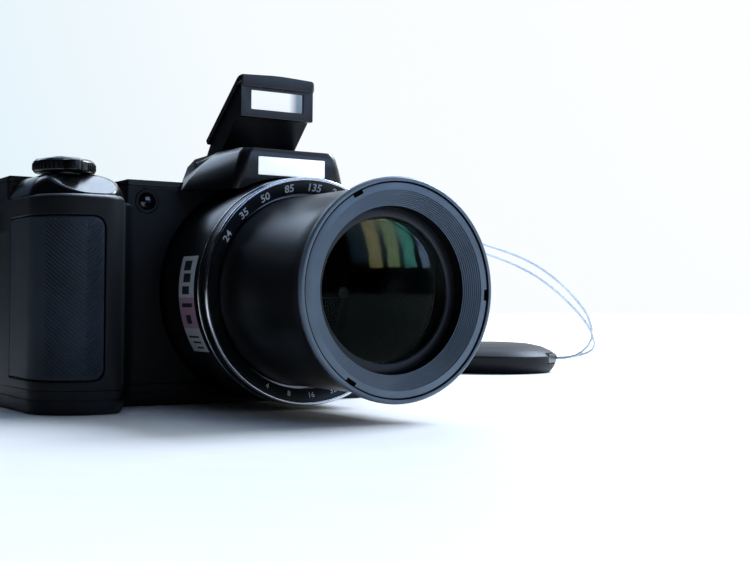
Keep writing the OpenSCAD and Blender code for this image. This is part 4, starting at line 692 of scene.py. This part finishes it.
# Fine steps with a turned groove at the foot of each, and three notches
def makeBezel():
    b = bezel
    profile = [(b["tail"], b["back"]), (b["tail"], b["seat"]), (b["outer"], b["seat"]),
               (b["outer"], b["face"] + 0.1), (b["outer"] - 0.2, b["face"]), (b["rim"], b["face"])]
    narrow, deep = (b["rim"] - b["opening"]) / b["steps"], b["depth"] / b["steps"]
    for k in range(b["steps"]):
        r, y = b["rim"] - k * narrow, b["face"] + (k + 1) * deep
        profile += [(r, y + b["cut"]), (r - b["groove"], y + b["cut"]), (r - b["groove"], y)]
        if k < b["steps"] - 1:
            profile.append((r - narrow, y))
    profile += [(b["opening"], b["face"] + b["depth"]), (b["opening"], b["back"])]
    ring = lathe("steppedRing", profile, ringSteps)
    for turn in b["notchTurns"]:
        middle = (b["outer"] + b["notchAt"][0], b["face"] + b["notchAt"][1], 0)
        cutter = smallBar("notchCutter", middle, b["notch"], 0.05)
        cutter.data.transform(Matrix.Translation((0, 0, lensZ)) @ Matrix.Rotation(math.radians(turn), 4, "Y"))
        applyModifier(ring, "BOOLEAN", {"object": cutter, "operation": "DIFFERENCE", "solver": "EXACT"})
        bpy.data.objects.remove(cutter)
    dress(soften(ring, 0, smooth=30), "barrel", "black_metal", greyAnodised, "front_bezel")
    bore, edge, floor = b["opening"] + 0.02, b["outer"] - 1, b["face"] + 0.25
    secondFinish(ring, lensBlack, lambda r, y: r < bore or (r > edge and y > floor))


barrelSleeve = makeBarrel()
makeBezel()
secondFinish(barrelSleeve, greyAnodised, lambda r, y: r > 26.4 and y < -97.5)  # the bare front of the lip

frontGlass = {"radius": 19.0, "rim": -91.4, "thick": 5.0, "bulge": 2.6, "rings": 30}


def makeGlass():
    g = frontGlass
    bigRadius = (g["radius"] ** 2 + g["bulge"] ** 2) / (2 * g["bulge"])
    profile = [(0, g["rim"] - g["bulge"])]
    for k in range(1, g["rings"] + 1):
        r = g["radius"] * k / g["rings"]
        profile.append((r, g["rim"] - g["bulge"] + bigRadius - math.sqrt(bigRadius ** 2 - r * r)))
    profile += [(g["radius"], g["rim"] + g["thick"]), (0, g["rim"] + g["thick"])]
    piece = soften(lathe("frontGlass", profile), 0, smooth=30)
    return dress(piece, "barrel", "lens_glass", coatedGlass, "front_element")


glassPiece = makeGlass()
retainerProfile = [(18, -91.72), (18, -92.02), (18.3, -92.32), (20.55, -92.32), (20.55, -90.8),
                   (19.05, -90.8), (19.05, -91.45)]
glassRing = soften(lathe("glassRing", retainerProfile), 0.08)
dress(glassRing, "barrel", "black_metal", anodised, "element_retainer")
print("lens outside ready")


# Plain numerals round the scale ring

scale = {"radius": 28.2, "size": 3.0, "smallSize": 2.1, "weight": 0.05, "thick": 0.05,
         "inner": 26.6, "front": -52.4, "cone": 0.4,
         "upper": ["24", "35", "50", "85", "135", "200", "400", "600"], "upperFrom": -60, "upperTo": 50,
         "lower": ["4", "8", "16", "32", "64"], "lowerFrom": 206, "lowerTo": 150}


# Text laid on the ring's sloping face, bent round its circle
def numeral(text, angle, upright):
    bpy.ops.object.select_all(action="DESELECT")
    bpy.ops.object.text_add()
    letter = bpy.context.object
    letter.data.body = text
    letter.data.size = (scale["size"] if upright else scale["smallSize"]) * mm
    letter.data.align_x = "CENTER"
    letter.data.align_y = "CENTER"
    letter.data.extrude = scale["thick"] * mm
    letter.data.offset = scale["weight"] * mm if upright else 0
    letter.data.resolution_u = 3
    bpy.ops.object.convert(target="MESH")
    letter = bpy.context.object
    way = 1 if upright else -1
    slope = math.atan(scale["cone"])
    for vertex in letter.data.vertices:
        across, up, out = vertex.co / mm
        turn = math.radians(angle) + way * across / scale["radius"]
        r = scale["radius"] + way * up * math.cos(slope)
        depth = scale["front"] - (r - scale["inner"]) * scale["cone"] - out * math.cos(slope)
        r -= out * math.sin(slope)
        vertex.co = (r * math.sin(turn) * mm, depth * mm, lensZ + r * math.cos(turn) * mm)
    return letter


numerals = []
for texts, first, final, upright in ((scale["upper"], scale["upperFrom"], scale["upperTo"], True),
                                     (scale["lower"], scale["lowerFrom"], scale["lowerTo"], False)):
    for k, text in enumerate(texts):
        numerals.append(numeral(text, first + (final - first) * k / (len(texts) - 1), upright))
dress(joinAll(numerals, "ringNumerals"), "camera_body", "black_metal", printInk)
print("numerals ready")


# Label on the collar's side with plain bars, and a bare plate with a painted glow on the hump

label = {"from": 163, "to": 212, "front": -46.6, "back": -36.8, "radius": 31.03, "thick": 0.06, "columns": 48,
         "marks": [(0.05, 0.15, 0.3, 0.75), (0.18, 0.27, 0.25, 0.7), (0.31, 0.39, 0.3, 0.75),
                   (0.48, 0.52, 0.15, 0.8), (0.6, 0.69, 0.35, 0.65), (0.82, 0.84, 0.2, 0.85),
                   (0.88, 0.9, 0.2, 0.7), (0.94, 0.96, 0.2, 0.6)]}


# A thin patch round the collar, from shares of the label's length and width
def collarPatch(name, start, end, near, far, lift):
    bpy.ops.object.select_all(action="DESELECT")
    columns = max(2, round(label["columns"] * (end - start)))
    bpy.ops.mesh.primitive_grid_add(x_subdivisions=columns, y_subdivisions=4, size=1)
    patch = bpy.context.object
    patch.name = name
    for vertex in patch.data.vertices:
        share = start + (end - start) * (vertex.co.x + 0.5)
        a = math.radians(label["from"] + (label["to"] - label["from"]) * share)
        y = label["front"] + (label["back"] - label["front"]) * (near + (far - near) * (vertex.co.y + 0.5))
        r = label["radius"] + lift
        vertex.co = (r * mm * math.cos(a), y * mm, lensZ + r * mm * math.sin(a))
    if patch.data.polygons[0].normal.x > 0:
        patch.data.flip_normals()
    applyModifier(patch, "SOLIDIFY", {"thickness": label["thick"] * mm, "offset": 1.0})
    return soften(patch, 0)


dress(collarPatch("collarLabel", 0, 1, 0, 1, 0), "camera_body", "flash_plastic", labelPaper)
labelMarks = [collarPatch("mark", *mark, label["thick"]) for mark in label["marks"]]
dress(joinAll(labelMarks, "labelMarks"), "camera_body", "flash_plastic", darkInk)

plate = {"centre": (0, -42.62, 66.6), "size": (20.8, 0.5, 5.0), "bevel": 0.18}
dress(soften(smallBar("humpPlate", **plate), 0), "camera_body", "aluminium", glowPaintedPlate)
print("label and plate ready")


# Small raised details on the controls

leverRidge = {"count": 44, "radius": 7.95, "centre": (-60.6, -29.4), "low": 62.9, "high": 64.6, "wide": 0.5,
              "bevel": 0.15, "nose": 270, "noseHalf": 26}
ridgeSize = (leverRidge["wide"], leverRidge["wide"], leverRidge["high"] - leverRidge["low"])
ridges = []
for k in range(leverRidge["count"]):
    a = 2 * math.pi * k / leverRidge["count"]
    if abs(math.degrees(a) - leverRidge["nose"]) < leverRidge["noseHalf"]:
        continue  # the nose takes this part of the rim
    ridge = smallBar("ridge", (0, 0, 0), ridgeSize, leverRidge["bevel"])
    ridge.data.transform(Matrix.Translation((
        (leverRidge["centre"][0] + leverRidge["radius"] * math.cos(a)) * mm,
        (leverRidge["centre"][1] + leverRidge["radius"] * math.sin(a)) * mm,
        (leverRidge["low"] + leverRidge["high"]) / 2 * mm)) @ Matrix.Rotation(a, 4, "Z"))
    ridges.append(ridge)
dress(soften(joinAll(ridges, "leverRidges"), 0), "lever", "gloss_plastic", sparkAbs)

arrow = {"back": 25.72, "deep": 0.1, "pad": (-51.5, 30.2), "ring": 6.8, "size": 1.7,
         "play": (-43.5, 44), "playSize": 2.2}


# A thin triangle on the back that points the way of its turn
def arrowMark(name, x, z, size, turn):
    a = math.radians(turn)
    points = []
    for y in (arrow["back"] - arrow["deep"], arrow["back"]):
        for k in range(3):
            b = a + k * 2 * math.pi / 3
            points.append(inMetres((x + size / 2 * math.cos(b), y, z + size / 2 * math.sin(b))))
    return newPiece(name, points, (), [(0, 1, 2), (5, 4, 3), (0, 3, 4, 1), (1, 4, 5, 2), (2, 5, 3, 0)])


arrows = []
for turn in (0, 90, 180, 270):
    a = math.radians(turn)
    arrows.append(arrowMark("arrow", arrow["pad"][0] + arrow["ring"] * math.cos(a),
                            arrow["pad"][1] + arrow["ring"] * math.sin(a), arrow["size"], turn))
dress(closeUp(joinAll(arrows, "padArrows")), "selector", "flash_plastic", printInk)
playMark = closeUp(arrowMark("playMark", *arrow["play"], arrow["playSize"], 180))
dress(playMark, "playback_key", "flash_plastic", printInk)

thumbRest = {"rows": 3, "columns": 6, "x": -66, "y": 24.75, "z": 50.4, "across": 2.4, "up": 2.1, "radius": 0.75}
thumbStuds = []
for row in range(thumbRest["rows"]):
    for column in range(thumbRest["columns"]):
        shift = thumbRest["across"] * (column + 0.5 * (row % 2))
        bpy.ops.object.select_all(action="DESELECT")
        bpy.ops.mesh.primitive_uv_sphere_add(
            segments=12, ring_count=8, radius=thumbRest["radius"] * mm,
            location=inMetres((thumbRest["x"] + shift, thumbRest["y"], thumbRest["z"] + thumbRest["up"] * row)))
        bpy.ops.object.transform_apply(location=True)
        thumbStuds.append(bpy.context.object)
dress(soften(joinAll(thumbStuds, "thumbStuds"), 0, smooth=60), "camera_body", "grip_rubber", gripRubber)

doorBar = {"count": 4, "first": (-60.3, -32, 0.25), "pitch": 2.2, "size": (1.0, 9, 0.5), "bevel": 0.2}
doorBars = []
for k in range(doorBar["count"]):
    x, y, z = doorBar["first"]
    doorBars.append(smallBar("bar", (x + doorBar["pitch"] * k, y, z), doorBar["size"], doorBar["bevel"]))
dress(soften(joinAll(doorBars, "doorBars"), 0), "door", "shell_plastic", sparkAbs)
print("controls ready")


# Lamp in the front panel: a moulded bezel with a small dark dome

lampDome = {"centre": (-35.4, -23.2, 56.6), "radius": 2.1, "flat": 0.35}
lampSpot = inMetres(lampDome["centre"])
bpy.ops.object.select_all(action="DESELECT")
bpy.ops.mesh.primitive_uv_sphere_add(segments=32, ring_count=16, radius=lampDome["radius"] * mm,
                                     location=lampSpot)
dome = bpy.context.object
dome.name = "lampDome"
bpy.ops.object.transform_apply(location=True)
bpy.ops.object.mode_set(mode="EDIT")
bpy.ops.mesh.select_all(action="SELECT")
bpy.ops.transform.resize(value=(1, lampDome["flat"], 1), center_override=lampSpot)
bpy.ops.mesh.bisect(plane_co=lampSpot, plane_no=(0, 1, 0), use_fill=True, clear_outer=True)
bpy.ops.object.mode_set(mode="OBJECT")
dress(soften(dome, 0, smooth=40), "camera_body", "clear_plastic", screenAcrylic)
lampBezel = soften(nodeCopy("lamp_window", "lampBezel"), 0.12)
dress(lampBezel, "camera_body", "clear_plastic", sparkAbs, "lamp_window")

# Thread of the tripod socket
thread = {"place": (0, 13), "turns": 9, "pitch": 0.55, "flank": 0.27, "low": 0.25, "high": 5.2,
          "root": 3.17, "crest": 2.75, "wall": 3.4, "steps": 64}
threadProfile = []
for k in range(thread["turns"]):
    low = thread["low"] + thread["pitch"] * k
    threadProfile += [(thread["root"], low), (thread["crest"], low + thread["flank"])]
threadProfile += [(thread["root"], thread["high"]), (thread["wall"], thread["high"]),
                  (thread["wall"], thread["low"])]
tripodThread = lathe("tripodThread", threadProfile, thread["steps"], thread["place"])
dress(soften(tripodThread, 0, smooth=20), "camera_body", "brass", turnedBrass)
print("small parts ready")


# Materials of the nodes that stay as they are

plain = {
    "guide_tube": plainAluminium, "drive_ring": acetal, "zoom_pinion": acetal, "zoom_motor": nickelSteel,
    "element_cell": lensBlack, "zoom_carriage": lensBlack, "zoom_lens": coatedGlass,
    "aperture_unit": lensBlack, "focus_carriage": lensBlack, "focus_lens": coatedGlass,
    "guide_rods": nickelSteel, "chassis": plainAluminium, "sensor_board": circuitBoard,
    "main_board": circuitBoard, "flash_capacitor": cellSleeve, "flash_reflector": silvered,
    "flash_pin": nickelSteel, "key_board": circuitBoard, "lcd_panel": screenAcrylic, "battery_box": sparkAbs,
    "battery_cells": cellSleeve, "connector_sockets": nickelSteel, "tripod_socket": turnedBrass,
    "tether_crimp": nickelSteel}
for node, material in plain.items():
    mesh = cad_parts[node].data
    mesh.materials.clear()
    mesh.materials.append(material)

print("materials set")


# Pale floor and soft studio light

floorLook = {"size": 8, "drop": 0.00005, "glow": 0.7, "glowFrom": 0.2, "glowTo": 0.9,
             "lightWay": (0.965, -0.262, 0), "dark": 0.3, "darkTo": -0.25, "lightFrom": -0.08}
# White laminate: matt, with hardly any grain; painted light (an emission glow) further out to the right, and
# painted shade (a darker base colour) on the left
floorMaterial = grained("laminate white matt", "#fffaf4", "#fbf6ef", (0.5, 0.6), 2.0, 0.004,
                        {"IOR": 1.5, "Specular IOR Level": 0.3})
floorTree = floorMaterial.node_tree
floorShader = floorTree.nodes["Principled BSDF"]
floorShader.inputs["Emission Color"].default_value = toLinear("#fafdff")
floorPlace = addNode(floorTree, "ShaderNodeTexCoord", {}, {})
floorFar = addNode(floorTree, "ShaderNodeVectorMath", {"operation": "LENGTH"}, {0: (floorPlace, "Object")})
floorFade = addNode(floorTree, "ShaderNodeMapRange",
                    {"From Min": floorLook["glowFrom"], "From Max": floorLook["glowTo"], "To Min": 0.0,
                     "To Max": floorLook["glow"]}, {"Value": (floorFar, "Value")})
floorSide = addNode(floorTree, "ShaderNodeVectorMath", {"operation": "DOT_PRODUCT"},
                    {0: (floorPlace, "Object")})
floorSide.inputs[1].default_value = floorLook["lightWay"]
sideRange = {"From Min": floorLook["darkTo"], "From Max": floorLook["lightFrom"]}
floorLit = addNode(floorTree, "ShaderNodeMapRange", sideRange, {"Value": (floorSide, "Value")})
# painted shade: the base colour darkens to 0.3 of itself on the left side
floorPaintedShade = addNode(floorTree, "ShaderNodeMapRange", {**sideRange, "To Min": floorLook["dark"], "To Max": 1.0},
                   {"Value": (floorSide, "Value")})
floorColour = floorShader.inputs["Base Color"].links[0].from_node
floorTone = addNode(floorTree, "ShaderNodeVectorMath", {"operation": "SCALE"},
                    {0: (floorColour, "Color"), "Scale": (floorPaintedShade, "Result")})
floorTree.links.new(floorTone.outputs["Vector"], floorShader.inputs["Base Color"])
# painted light: emission grows with distance from the object, on the right side only
floorPaintedGlow = addNode(floorTree, "ShaderNodeMath", {"operation": "MULTIPLY"},
                    {0: (floorFade, "Result"), 1: (floorLit, "Result")})
floorTree.links.new(floorPaintedGlow.outputs["Value"], floorShader.inputs["Emission Strength"])
bpy.ops.object.select_all(action="DESELECT")
bpy.ops.mesh.primitive_plane_add(size=floorLook["size"], location=(0, 0, -floorLook["drop"]))
floor = bpy.context.object
floor.name = "studioFloor"
bpy.ops.object.transform_apply(location=True)
floor.data.materials.append(floorMaterial)

# Surround: a bright wall behind the object, dark on the viewer's side
surround = {"way": (0.849, 0.396, 0.35), "from": -0.25, "first": "#0c0f14", "last": "#ffffff",
            "tones": [(0.3, "#141920"), (0.48, "#465468"), (0.58, "#6d8096"), (0.65, "#c2d9ea"),
                      (0.69, "#e2f2fb"), (0.83, "#f8fdff")]}
world = bpy.data.worlds.new("studioSurround")
bpy.context.scene.world = world
world.use_nodes = True
sky = world.node_tree
backdrop = sky.nodes["Background"]
skyWay = addNode(sky, "ShaderNodeTexCoord", {}, {})
skyDot = addNode(sky, "ShaderNodeVectorMath", {"operation": "DOT_PRODUCT"}, {0: (skyWay, "Generated")})
skyDot.inputs[1].default_value = surround["way"]
skyFade = addNode(sky, "ShaderNodeMapRange", {"From Min": surround["from"], "From Max": 1.0},
                  {"Value": (skyDot, "Value")})
skyColour = addNode(sky, "ShaderNodeValToRGB", {}, {"Fac": (skyFade, "Result")})
skyColour.color_ramp.elements[0].color = toLinear(surround["first"])
skyColour.color_ramp.elements[1].color = toLinear(surround["last"])
for spot, tint in surround["tones"]:
    skyColour.color_ramp.elements.new(spot).color = toLinear(tint)
sky.links.new(skyColour.outputs["Color"], backdrop.inputs["Color"])
backdrop.inputs["Strength"].default_value = 1.0


def softLight(name, place, target, size, power, tint, shineOnly=False, onlyOn=None):
    data = bpy.data.lights.new(name, "AREA")
    data.shape = "RECTANGLE"
    data.size, data.size_y = size
    data.energy = power
    data.color = toLinear(tint)[:3]
    lamp = bpy.data.objects.new(name, data)
    bpy.context.scene.collection.objects.link(lamp)
    lamp.location = place
    lamp.rotation_euler = (Vector(target) - Vector(place)).to_track_quat("-Z", "Y").to_euler()
    lamp.visible_diffuse = not shineOnly
    if onlyOn:
        lamp.light_linking.receiver_collection = onlyOn


# A collection with one piece, for a light that falls on that piece alone
def onlyFor(name, piece):
    group = bpy.data.collections.new(name)
    group.objects.link(piece)
    return group


softLight("keySky", (1.05, 0.12, 0.95), (0.0, -0.05, 0.03), (0.5, 0.5), 30, "#d6e7ff")
softLight("backSky", (0.45, 0.85, 0.9), (0.0, -0.03, 0.03), (0.9, 0.9), 1.5, "#cfe3ff")
softLight("overhead", (-0.1, -0.1, 1.2), (0.0, -0.05, 0.03), (0.9, 0.9), 1.2, "#b4d2ff")
softLight("deckSky", (0.36, 0.52, 1.1), (-0.06, -0.04, 0.06), (0.5, 0.5), 4, "#d0e4ff", True)
softLight("humpSky", (-0.18, 0.88, 0.83), (-0.02, -0.03, 0.066), (0.6, 0.5), 3, "#d0e4ff", True)
softLight("frontWindow", (0.6, -1.15, 0.55), (0.0, -0.08, 0.03), (0.7, 0.5), 3.2, "#b4d2ff")
# High sky that only shows on the rolled edge of the grip, under the deck
shellOnly = onlyFor("shellOnly", bpy.data.objects["frontShell"])
softLight("bandSky", (0.34, 0.14, 1.05), (-0.06, -0.04, 0.056), (0.6, 0.5), 45, "#d0e4ff", True, shellOnly)
# Tall panes to the front right, which only show as coloured bars in the coated glass
panes = {"middle": (0.62, -0.95, 0.42), "along": (0.84, 0.54, 0), "target": (0, -0.094, 0.034),
         "size": (0.13, 0.42),
         "tints": [("paneAmber", -0.18, 4.2, "#ecc890"), ("paneOlive", 0.0, 4.2, "#d2d69c"),
                   ("paneTeal", 0.17, 4.0, "#7fd8d0"), ("paneViolet", 0.36, 3.6, "#a9b8ea")]}
glassOnly = onlyFor("glassOnly", glassPiece)
for name, offset, power, tint in panes["tints"]:
    place = Vector(panes["middle"]) + Vector(panes["along"]) * offset
    softLight(name, place, panes["target"], panes["size"], power, tint, True, glassOnly)
bpy.context.scene.view_settings.view_transform = "Standard"
print("stage ready")
